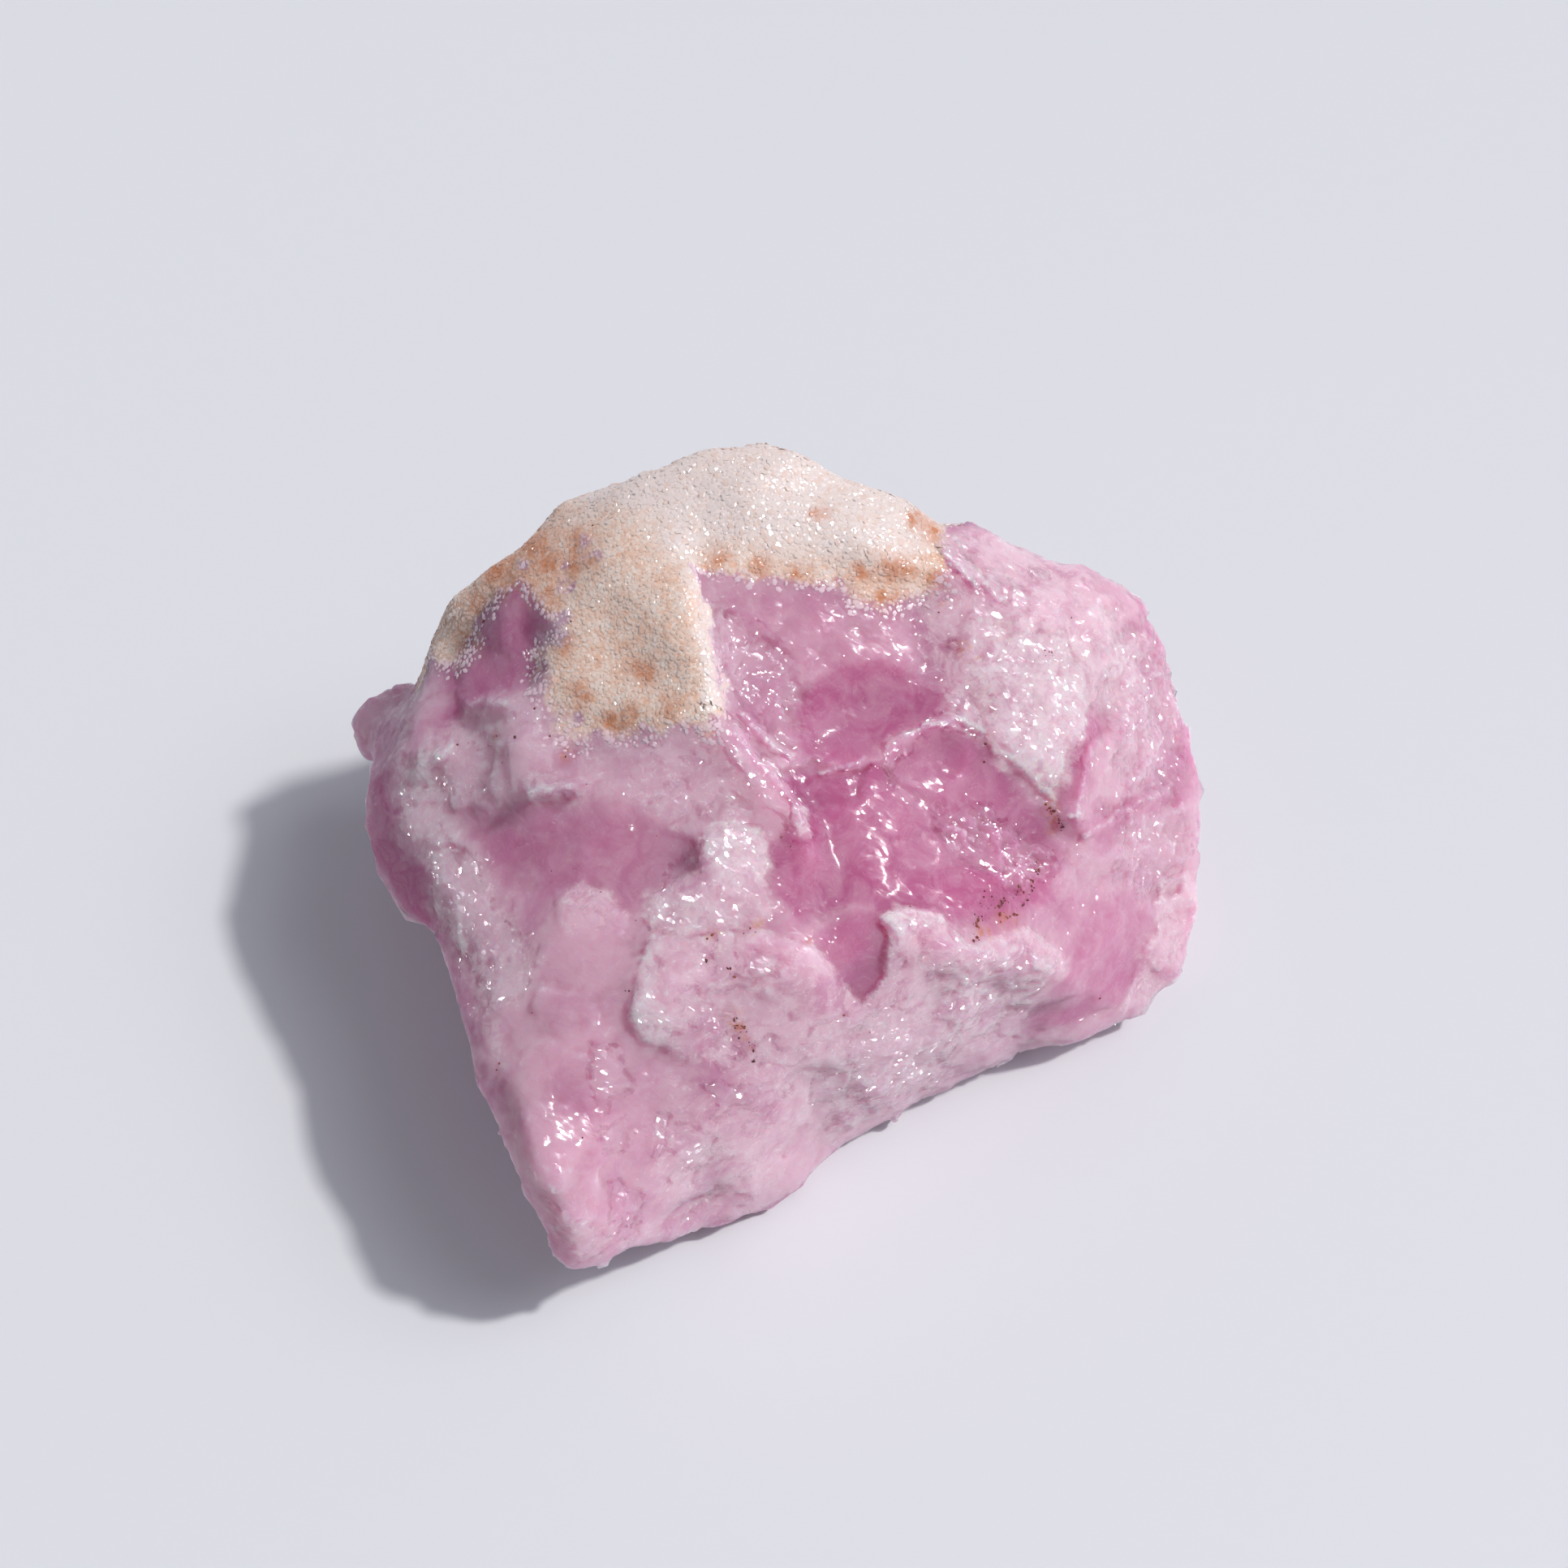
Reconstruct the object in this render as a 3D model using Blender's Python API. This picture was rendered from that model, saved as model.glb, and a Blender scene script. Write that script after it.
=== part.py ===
"""A rough piece of translucent pink aragonite, broken from its vein and lying on a table: one solid stone.

The row frame has its origin under the middle of the stone, on the table, with +Z up and +X along the length.
"""

import math

import bmesh
import bpy
import numpy as np
from mathutils import Vector, geometry, noise

MM = 0.001

# The stone's broad show face looks up at an eye in front of it. The outline and all that lies on the show
# face are laid out as that eye sees them: across and up on the plane square to its sight at the aim point,
# and how far they stand out of that plane towards the eye.
EYE_ELEVATION = math.radians(56.0)
EYE_DISTANCE = 201.0 * MM
AIM = Vector((0.75, 17.2, 0.0)) * MM

FORWARD = Vector((0.0, math.cos(EYE_ELEVATION), -math.sin(EYE_ELEVATION)))
UPWARD = Vector((0.0, math.sin(EYE_ELEVATION), math.cos(EYE_ELEVATION)))
ACROSS = Vector((1.0, 0.0, 0.0))
EYE = AIM - FORWARD * EYE_DISTANCE

# The outline, clockwise as the eye sees it: (across, up, towards the eye), in mm.
CREST = [(-9.8, 24.6, 28.5), (-5.5, 26.2, 28.5), (-1.0, 25.9, 28.5), (1.5, 25.4, 28.5), (4.5, 23.9, 28.0),
         (8.4, 22.5, 27.5), (10.9, 20.9, 27.0), (11.6, 19.9, 26.0)]
RIGHT_SHOULDER = [(14.3, 20.1, 24.5), (18.7, 17.9, 23.0), (23.4, 16.4, 21.5), (27.1, 14.2, 20.5)]
RIGHT_END = [(29.3, 10.9, 18.5), (30.5, 6.0, 17.0), (31.5, 0.4, 15.5), (32.3, -5.3, 14.5),
             (31.6, -10.3, 14.0), (30.6, -15.0, 13.5)]
FRONT_FOOT = [(27.6, -17.5, 13.5), (22.8, -19.7, 15.5), (17.8, -20.7, 16.5), (13.1, -22.8, 17.5),
              (8.4, -25.6, 18.0), (3.4, -28.2, 19.0), (1.0, -31.2, 20.5), (-1.0, -32.4, 21.0),
              (-5.4, -33.8, 23.0)]
TIP = [(-10.4, -35.6, 27.0), (-16.0, -37.6, 30.0), (-17.9, -36.0, 31.5)]
LEFT_WALL = [(-19.6, -31.8, 32.0), (-21.5, -27.1, 32.0), (-22.7, -24.0, 31.5), (-24.5, -18.4, 30.0),
             (-25.6, -14.6, 27.5), (-26.4, -12.4, 26.0), (-29.1, -9.9, 22.5), (-31.1, -6.8, 20.5),
             (-32.1, -2.1, 19.5), (-31.5, 1.0, 19.0)]
BACK_LEDGE = [(-32.3, 2.2, 12.0), (-33.4, 4.6, 11.5), (-32.8, 5.8, 11.5), (-30.4, 7.4, 12.0),
              (-28.4, 7.9, 12.5)]
UPPER_LEFT = [(-27.8, 8.6, 17.0), (-26.6, 11.3, 19.0), (-25.2, 14.4, 21.0), (-22.9, 16.7, 23.0),
              (-18.8, 19.8, 25.0), (-16.6, 21.2, 26.0), (-12.9, 22.9, 27.5)]
OUTLINE = CREST + RIGHT_SHOULDER + RIGHT_END + FRONT_FOOT + TIP + LEFT_WALL + BACK_LEDGE + UPPER_LEFT

# The lie of the show face inside the outline, in the same terms.
LEFT_RIDGE = [(-27.6, 7.4, 21.0), (-28.6, 4.8, 22.0), (-29.6, 2.2, 22.0), (-27.5, -5.0, 25.5),
              (-23.8, -12.1, 29.0), (-21.8, -17.4, 32.0), (-20.4, -23.4, 34.0), (-18.5, -29.6, 36.0),
              (-16.3, -34.0, 35.0)]
LEDGE_TOP = [(-30.8, 4.6, 14.5), (-29.4, 6.6, 14.5)]
SHOW_FACE = [(-2.2, 21.6, 31.0), (5.9, 19.7, 30.5), (10.9, 17.3, 28.5), (-20.4, 11.6, 27.0),
             (-12.9, 16.6, 30.5), (-6.0, 8.0, 33.0), (-20.0, 2.0, 29.5), (-12.0, 0.0, 32.5),
             (-4.0, -3.0, 33.5), (4.0, 2.0, 32.5), (9.0, 6.0, 30.5), (14.6, 15.4, 28.0),
             (20.9, 12.9, 26.5), (25.5, 9.5, 23.5), (20.5, 3.0, 27.0), (26.0, 2.0, 22.5),
             (28.8, -4.0, 18.0), (22.0, -5.0, 25.0), (12.0, -3.0, 30.5), (26.5, -11.0, 19.5),
             (-16.0, -11.0, 32.5), (-10.0, -16.0, 35.0), (0.0, -14.0, 35.0), (8.0, -12.5, 34.0),
             (15.0, -13.0, 31.0), (21.0, -14.5, 25.0), (-13.0, -25.0, 33.0), (-6.5, -27.0, 31.0),
             (-11.5, -32.0, 31.0), (-3.0, -29.5, 27.0), (1.0, -21.0, 31.0), (7.0, -21.0, 28.0),
             (13.5, -18.5, 25.0)]

# The hidden side, in the row frame, in mm: the ring that the stone stands on, which reaches under the table
# until it is cut off flat, and the back wall above it.
FOOT = [(0.5, -15.5), (11.0, -7.5), (23.0, -1.5), (26.0, 4.0), (20.0, 14.5), (4.0, 21.0), (-13.0, 20.0),
        (-22.0, 11.0), (-17.0, -5.0), (-8.0, -13.5)]
FOOT_DEPTH = 1.5
BACK_WALL = [(17.0, 22.5, 17.0), (1.0, 25.5, 19.0), (-14.0, 22.5, 18.0), (-26.0, 16.5, 6.0)]

# The forms on the show face: how far each rises towards the eye (a hollow sinks), and its outline as
# (across, up, half the width of the slope there), in mm.
FORMS = {
    "crust slab": (1.0, [(-6.9, 17.0, 0.5), (-6.5, 14.1, 0.4), (-5.9, 11.0, 0.4), (-5.1, 7.9, 0.4),
                         (-4.6, 4.8, 0.5), (-6.0, 3.8, 1.2), (-10.4, 4.1, 1.5), (-15.4, 5.4, 1.5),
                         (-18.5, 9.0, 2.5), (-18.0, 14.5, 3.0), (-13.0, 20.0, 3.0), (-8.0, 19.5, 2.0)]),
    "upper hollow": (-1.2, [(-6.2, 15.0, 1.0), (-5.0, 10.0, 1.0), (-4.0, 5.0, 1.5), (0.0, 2.5, 3.0),
                            (6.0, 4.0, 3.0), (11.0, 6.0, 2.5), (12.6, 10.0, 2.0), (11.5, 14.0, 2.0),
                            (6.0, 16.0, 2.5), (0.0, 16.5, 2.5)]),
    "middle hollow": (-1.1, [(-2.0, 2.3, 2.0), (1.0, -2.0, 2.0), (2.6, -6.0, 2.0), (2.6, -10.0, 2.5),
                             (7.0, -8.5, 3.0), (12.0, -8.5, 3.0), (17.0, -7.0, 3.0), (20.0, -4.0, 2.5),
                             (17.0, 0.5, 1.5), (14.5, 2.5, 1.5), (12.0, 5.5, 2.0), (8.4, 6.5, 3.0),
                             (2.0, 6.0, 3.0)]),
    "notch": (-0.45, [(2.4, -8.0, 2.5), (2.0, -11.5, 0.8), (3.4, -14.5, 0.5), (4.9, -17.2, 0.5),
                     (6.5, -16.2, 0.5), (7.6, -14.0, 0.5), (8.4, -11.0, 0.6), (8.0, -8.0, 2.5)]),
    "right plateau": (0.7, [(11.5, 21.0, 0.6), (12.4, 16.6, 0.5), (14.6, 14.1, 0.5), (13.6, 10.4, 0.5),
                            (13.8, 8.5, 0.4), (17.1, 6.6, 0.4), (15.6, 4.1, 0.4), (16.8, 1.6, 0.4),
                            (19.0, 0.4, 0.4), (20.6, -1.2, 0.4), (21.2, 1.0, 0.6), (23.0, 5.4, 1.0),
                            (23.7, 7.3, 1.2), (25.6, 10.4, 1.2), (29.0, 11.9, 1.2), (31.0, 16.0, 1.5),
                            (23.4, 21.0, 1.5)]),
    "pink patch": (-0.5, [(-24.0, 14.0, 1.5), (-19.0, 14.5, 1.0), (-18.0, 10.0, 1.0), (-19.5, 6.8, 1.5),
                          (-24.0, 6.5, 2.0), (-26.0, 9.0, 2.0)]),
    "left trough": (-0.5, [(-26.0, -3.4, 3.0), (-21.6, -2.2, 3.0), (-12.9, -2.0, 3.0), (-7.4, -2.6, 1.5),
                           (-6.5, -4.5, 0.8), (-7.0, -7.0, 0.8), (-10.2, -9.6, 1.0), (-16.6, -10.2, 1.5),
                           (-20.4, -9.8, 2.5), (-24.4, -8.0, 2.5)]),
    "left lump": (0.6, [(-19.4, -14.0, 0.6), (-18.8, -10.9, 0.5), (-16.6, -8.2, 0.5), (-12.9, -9.0, 0.6),
                        (-10.4, -11.5, 1.0), (-11.9, -15.0, 2.0), (-12.3, -20.0, 2.5), (-12.9, -28.0, 3.0),
                        (-19.0, -26.0, 3.0), (-19.8, -18.0, 1.5)]),
    "front slab": (0.7, [(-11.9, -18.4, 0.5), (-12.3, -15.9, 0.5), (-11.3, -13.4, 0.5), (-10.4, -11.5, 0.5),
                         (-6.0, -11.3, 0.5), (-1.6, -11.2, 0.5), (2.1, -11.8, 0.5), (4.0, -14.6, 0.5),
                         (4.9, -17.3, 0.5), (6.5, -16.2, 0.5), (7.8, -14.0, 0.5), (8.2, -11.5, 0.5),
                         (7.4, -9.9, 0.4), (11.5, -10.3, 0.5), (13.4, -12.1, 0.6), (15.9, -12.4, 0.7),
                         (18.4, -11.5, 0.8), (21.5, -14.0, 1.5), (20.3, -17.8, 3.0), (14.0, -22.0, 4.0),
                         (6.0, -26.0, 4.0), (0.0, -28.0, 4.0), (-5.0, -25.0, 3.0), (-8.5, -21.5, 1.0),
                         (-11.0, -20.3, 0.6)]),
    "knob": (0.6, [(-6.6, -2.8, 0.5), (-4.1, -2.1, 0.5), (-1.3, -3.4, 0.5), (-1.0, -5.6, 0.5),
                   (-2.3, -7.1, 0.5), (-5.4, -7.4, 0.5), (-6.9, -5.9, 0.5)]),
    "bridge": (0.5, [(-10.4, -8.4, 0.5), (-7.3, -7.4, 0.5), (-2.9, -7.8, 0.5), (-3.8, -11.2, 0.5),
                     (-10.4, -11.5, 0.5)]),
    "front chip": (-1.0, [(27.6, -7.6, 0.4), (30.6, -7.0, 0.4), (31.0, -10.0, 0.4), (28.6, -10.6, 0.4)]),
}

# Ribs and nodules on the show face: height, half width, and the line along the top as (across, up), in mm.
RIBS = [
    (1.2, 0.8, [(21.5, -2.7), (22.4, 1.0), (23.0, 4.1)]),
    (1.2, 0.8, [(22.2, -2.6), (25.0, 2.4), (26.4, 6.0)]),
    (1.1, 0.8, [(23.0, -3.2), (27.0, 0.4), (29.0, 2.6)]),
    (1.1, 0.9, [(23.4, -4.2), (28.0, -2.0), (31.0, -1.6)]),
    (0.9, 0.9, [(23.2, -5.6), (27.6, -5.2), (31.0, -5.6)]),
    (1.1, 0.8, [(-4.0, 3.6), (-1.4, -1.0), (0.6, -2.6), (2.0, -5.2)]),
    (1.1, 0.7, [(7.6, 2.0), (8.8, 3.8), (11.0, 4.4), (13.8, 5.0)]),
    (0.8, 0.6, [(-19.2, -0.4), (-17.2, 0.0), (-15.4, 0.2)]),
    (0.7, 0.6, [(-27.4, 1.6), (-25.6, 2.6)]),
    (0.7, 0.6, [(-22.6, 5.6), (-20.6, 6.4)]),
]

# Broken facets over the whole stone: size and depth, in mm, on the show face and on the rest.
SHOW_FACETS = [(6.0, 1.0), (2.6, 0.4)]
ROUGH_FACETS = [(9.0, 2.4), (3.5, 1.4)]
SEED = 7

# How far the forms' outlines wander, and the length of one wave of it, in mm.
EDGE_WANDER = 0.5
EDGE_WAVE = 2.5

# The remeshing grid, in mm, how far the surface is pushed out because remeshing rounds off its edges, and the
# number of triangles that are kept.
REMESH_SIZE = 0.6
ROUNDING = 0.3
TRIANGLES = 9300


def sight(across, up):
    """From the eye to a point of the plane square to its sight, in metres."""
    return FORWARD * EYE_DISTANCE + ACROSS * across * MM + UPWARD * up * MM


def on_sight(across, up, towards):
    return EYE + sight(across, up) * (1.0 - towards * MM / EYE_DISTANCE)


def as_seen(points):
    """Where the eye sees each point: across and up, in mm."""
    rays = points - np.array(EYE)
    share = EYE_DISTANCE / (rays @ np.array(FORWARD)) / MM
    return np.stack([rays @ np.array(ACROSS) * share, rays @ np.array(UPWARD) * share], axis=1)


def nearest(seen, line):
    """How far each seen point is from each stretch of a line, in mm, and where along the stretch."""
    start, run = line[:-1], line[1:] - line[:-1]
    reach = seen[:, None, :] - start
    share = np.clip((reach * run).sum(axis=2) / (run ** 2).sum(axis=1), 0.0, 1.0)
    return np.linalg.norm(reach - share[..., None] * run, axis=2), share


def inside(seen, ring):
    """Which seen points a closed ring holds."""
    (x0, y0), (x1, y1) = ring[:-1].T, ring[1:].T
    x, y = seen[:, :1], seen[:, 1:]
    lean = (x1 - x0) / np.where(y1 == y0, 1.0, y1 - y0)
    crossed = ((y0 > y) != (y1 > y)) & (x < x0 + (y - y0) * lean)
    return crossed.sum(axis=1) % 2 == 1


def form_share(seen, outline):
    """How much of a form's rise each seen point takes: all of it inside, half on the outline, none outside."""
    ring = np.array(outline + outline[:1])
    gap, share = nearest(seen, ring[:, :2])
    slope = ring[:-1, 2] + (ring[1:, 2] - ring[:-1, 2]) * share
    steps = (gap / slope).min(axis=1)
    return smooth(0.5 + 0.5 * np.where(inside(seen, ring[:, :2]), steps, -steps))


def smooth(value):
    share = np.clip(value, 0.0, 1.0)
    return share * share * (3.0 - 2.0 * share)


def skin(outline, inner, creases):
    """Triangles that fill the outline as the eye sees it and pass through the inner points."""
    points = outline + inner
    flat = [Vector(p) for p in as_seen(np.array(points))]
    ring = [(i, (i + 1) % len(outline)) for i in range(len(outline))]
    found = geometry.delaunay_2d_cdt(flat, ring + creases, [], 1, 1e-6)
    return [[points[found[3][corner][0]] for corner in face] for face in found[2]]


def cage():
    """The stone as a closed cage of large flats: the show face and the hidden side share the outline."""
    outline = [on_sight(*p) for p in OUTLINE]
    shown = [on_sight(*p) for p in LEFT_RIDGE + LEDGE_TOP + SHOW_FACE]
    hidden = [Vector((x, y, -FOOT_DEPTH)) * MM for x, y in FOOT] + [Vector(p) * MM for p in BACK_WALL]
    first = len(outline)
    ridge = [(first + i, first + i + 1) for i in range(len(LEFT_RIDGE) - 1)]
    foot = [(first + i, first + (i + 1) % len(FOOT)) for i in range(len(FOOT))]
    work = bmesh.new()
    for corners in skin(outline, shown, ridge) + skin(outline, hidden, foot):
        work.faces.new([work.verts.new(corner) for corner in corners])
    bmesh.ops.remove_doubles(work, verts=work.verts, dist=1e-6)
    bmesh.ops.recalc_face_normals(work, faces=work.faces)
    mesh = bpy.data.meshes.new("cage")
    work.to_mesh(mesh)
    work.free()
    return mesh


def evaluated(stone):
    """The stone's mesh with its modifiers applied."""
    bpy.context.view_layer.update()
    mesh = bpy.data.meshes.new_from_object(stone.evaluated_get(bpy.context.evaluated_depsgraph_get()))
    stone.modifiers.clear()
    return mesh


def remeshed(stone):
    remesh = stone.modifiers.new("remesh", "REMESH")
    remesh.mode = "VOXEL"
    remesh.voxel_size = REMESH_SIZE * MM
    return evaluated(stone)


def wander(place):
    """A smooth random vector for each place, about one unit long at most."""
    return Vector([noise.noise(place + Vector((0.0, 0.0, shift))) for shift in (0.0, 31.4, 62.8)])


def facets(points, size, depth):
    """Flat broken facets: each cell of a random mosaic has its own tilt, and neighbours meet at half way."""
    heights = []
    for point in points / (size * MM):
        place = Vector(point) + Vector((SEED, 0.0, 0.0))
        distances, centres = noise.voronoi(place)
        lifts = [wander(centre * 3.7).dot(place - centre) for centre in centres[:2]]
        share = 0.5 + 0.5 * min(1.0, (distances[1] - distances[0]) * 5.0)
        heights.append(share * lifts[0] + (1.0 - share) * lifts[1])
    return np.array(heights) * depth


def shaped(mesh):
    """Raises and sinks the forms of the show face, and breaks the whole surface into facets."""
    count = len(mesh.vertices)
    points, normals = np.empty(count * 3), np.empty(count * 3)
    mesh.vertices.foreach_get("co", points)
    mesh.vertices.foreach_get("normal", normals)
    points, normals = points.reshape(-1, 3), normals.reshape(-1, 3)
    rays = points - np.array(EYE)
    rays /= np.linalg.norm(rays, axis=1)[:, None]
    facing = -(normals * rays).sum(axis=1)
    shown, hidden = smooth(facing / 0.35), smooth(-facing / 0.4)
    seen = as_seen(points)
    seen += np.array([wander(Vector(point) / (EDGE_WAVE * MM))[:2] for point in points]) * EDGE_WANDER
    rise = np.zeros(count)
    for height, outline in FORMS.values():
        rise += height * form_share(seen, outline)
    for height, half_width, line in RIBS:
        gap = nearest(seen, np.array(line))[0].min(axis=1)
        rise += height * smooth(1.0 - gap / (2.0 * half_width))
    above = smooth(points[:, 2] / (2.5 * MM))
    fine = sum(facets(points, size, depth) for size, depth in SHOW_FACETS)
    coarse = sum(facets(points, size, depth) for size, depth in ROUGH_FACETS)
    lift = ROUNDING + above * (fine + hidden * (coarse - fine))
    points += (normals * lift[:, None] - rays * (rise * shown)[:, None]) * MM
    mesh.vertices.foreach_set("co", points.ravel())
    mesh.update()
    return mesh


def thinned(stone):
    decimate = stone.modifiers.new("decimate", "DECIMATE")
    decimate.ratio = TRIANGLES / (2 * len(stone.data.polygons))
    decimate.use_collapse_triangulate = True
    return evaluated(stone)


def cut_flat(mesh):
    """Cuts off what is under the table, and closes the cut with the flat that the stone rests on."""
    work = bmesh.new()
    work.from_mesh(mesh)
    everything = work.verts[:] + work.edges[:] + work.faces[:]
    cut = bmesh.ops.bisect_plane(work, geom=everything, dist=1e-6, plane_co=(0, 0, 0), plane_no=(0, 0, -1),
                                 clear_outer=True)
    rim = [item for item in cut["geom_cut"] if isinstance(item, bmesh.types.BMEdge)]
    bmesh.ops.triangle_fill(work, edges=rim, use_beauty=True)
    for vert in work.verts:
        vert.co.z = max(vert.co.z, 0.0)
    bmesh.ops.triangulate(work, faces=work.faces)
    bmesh.ops.recalc_face_normals(work, faces=work.faces)
    work.to_mesh(mesh)
    work.free()
    return mesh


def pink_mineral():
    material = bpy.data.materials.new("pink_mineral")
    material.use_nodes = True
    surface = material.node_tree.nodes["Principled BSDF"]
    surface.inputs["Base Color"].default_value = (0.62, 0.30, 0.44, 1.0)
    surface.inputs["Roughness"].default_value = 0.35
    surface.inputs["Metallic"].default_value = 0.0
    return material


for old in list(bpy.data.objects):
    bpy.data.objects.remove(old)
stone = bpy.data.objects.new("aragonite_stone", cage())
bpy.context.scene.collection.objects.link(stone)
stone.data = remeshed(stone)
stone.data = shaped(stone.data)
stone.data = remeshed(stone)
stone.data = thinned(stone)
stone.data = cut_flat(stone.data)
stone.data.materials.clear()
stone.data.materials.append(pink_mineral())
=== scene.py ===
"""The looks of the pink stone: its broken, frosted and sugary surface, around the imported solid.

The row frame has its origin under the middle of the stone, on the table, with +Z up and +X along the length.
"""

import math

import bpy
import numpy as np
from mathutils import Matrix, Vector
from mathutils.bvhtree import BVHTree
from mathutils.kdtree import KDTree


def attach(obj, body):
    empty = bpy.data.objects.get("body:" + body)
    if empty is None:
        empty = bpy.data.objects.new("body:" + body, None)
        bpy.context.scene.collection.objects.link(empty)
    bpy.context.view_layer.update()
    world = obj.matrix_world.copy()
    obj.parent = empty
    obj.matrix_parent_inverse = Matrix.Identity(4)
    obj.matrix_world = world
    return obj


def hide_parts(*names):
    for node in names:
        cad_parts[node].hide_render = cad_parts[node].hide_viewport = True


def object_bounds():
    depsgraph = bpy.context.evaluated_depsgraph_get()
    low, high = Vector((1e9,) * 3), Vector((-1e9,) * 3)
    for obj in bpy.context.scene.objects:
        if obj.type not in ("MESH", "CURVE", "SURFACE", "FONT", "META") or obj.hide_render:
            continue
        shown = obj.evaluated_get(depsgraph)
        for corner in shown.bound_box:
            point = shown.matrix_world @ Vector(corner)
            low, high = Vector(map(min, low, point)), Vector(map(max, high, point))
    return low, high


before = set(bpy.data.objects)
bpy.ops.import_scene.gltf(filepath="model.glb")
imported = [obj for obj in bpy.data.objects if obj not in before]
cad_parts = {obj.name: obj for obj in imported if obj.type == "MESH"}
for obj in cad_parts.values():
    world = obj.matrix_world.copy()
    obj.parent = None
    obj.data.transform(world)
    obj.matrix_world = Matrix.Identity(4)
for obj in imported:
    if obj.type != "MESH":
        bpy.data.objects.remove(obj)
cad_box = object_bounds()

# The camera looks down on the broad show face from in front. All that is laid out on that face is given as
# this eye sees it: across and up, in mm, on the plane square to its sight at the point that it aims at.
MM = 0.001
EYE_ELEVATION = math.radians(56.0)
EYE_DISTANCE = 201.0 * MM
AIM = Vector((0.75, 17.2, 0.0)) * MM
FORWARD = Vector((0.0, math.cos(EYE_ELEVATION), -math.sin(EYE_ELEVATION)))
UPWARD = Vector((0.0, math.sin(EYE_ELEVATION), math.cos(EYE_ELEVATION)))
ACROSS = Vector((1.0, 0.0, 0.0))
EYE = AIM - FORWARD * EYE_DISTANCE

bpy.ops.object.select_all(action="DESELECT")
bpy.ops.object.camera_add(location=EYE, rotation=(math.pi / 2 - EYE_ELEVATION, 0.0, 0.0))
camera = bpy.context.active_object
camera.name = "camera"
camera.data.lens = 60.0
camera.data.sensor_width = 36.0
camera.data.clip_start = 10.0 * MM
bpy.context.scene.camera = camera

# The stone: one lump of translucent pink mineral, broken all round. Its solid is copied, remeshed finely and
# carved: the ledges get crisp edges, and the glassy parts break into facets along the lines of the fracture.
REMESH_SIZE = 0.21
SMOOTHING_ROUNDS = 14
TRIANGLES = 186000
BROAD_FACET, SMALL_FACET, TINY_FACET, ROUGH_FACET = 3.0, 1.25, 0.6, 2.0
CRISP_ANGLE = math.radians(38.0)
TALLEST_SPUR = 0.3
SPUR_ROUNDS = 12
SOFT_ROUNDS = 110
CRUST_LAP = 3.6
CRUST_FOOT = 12.0

# Where each kind of surface lies on the show face: how strong it is, half the usual width of its edge in mm,
# and its outline as (across, up), or as (across, up, half width) where the edge isn't of the usual width.
# A few zones paint light or shade instead, as the comment over each says.
CRUST = {
    "crust": (1.0, 0.8, [(-7.1, 17.1, 0.3), (-6.6, 15.2, 0.2), (-6.1, 13.4, 0.2), (-5.8, 11.0, 0.2),
        (-5.1, 8.8, 0.3), (-4.6, 6.5, 0.4), (-4.5, 5.1, 0.6), (-5.9, 4.3, 1.2), (-7.6, 4.8, 1.4),
        (-9.1, 4.1, 1.6), (-10.7, 3.8, 1.8), (-12.6, 4.2, 2.0), (-13.8, 3.8, 2.0), (-15.5, 3.4, 2.0),
        (-16.9, 4.1, 2.0), (-17.5, 5.5, 1.8), (-18.4, 6.9, 1.6), (-18.6, 9.1, 1.5), (-18.2, 11.0, 1.4),
        (-17.6, 12.8, 1.3), (-18.6, 14.2, 1.3), (-20.4, 15.1, 1.2), (-21.9, 14.4, 1.2), (-23.1, 13.2, 1.2),
        (-23.5, 11.9, 1.4), (-24.6, 10.4, 1.5), (-25.6, 9.2, 1.5), (-27.9, 10.4), (-26.9, 14.1),
        (-22.9, 18.5), (-17.9, 22.9), (-10.4, 27.2), (-4.1, 28.8), (2.8, 27.2), (9.0, 24.1),
        (12.8, 20.4, 0.5), (11.6, 19.0, 0.3), (11.8, 17.2, 0.5), (12.0, 15.7, 1.2), (11.4, 14.4, 1.5),
        (9.6, 13.8, 1.6), (7.8, 13.4, 1.6), (6.5, 13.8, 1.6), (5.2, 14.8, 1.5), (4.0, 15.7, 1.3),
        (2.1, 15.9, 1.1), (-0.4, 16.3, 1.0), (-2.2, 16.1, 1.0), (-4.1, 15.9), (-5.5, 16.4, 0.5)]),
}
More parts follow.
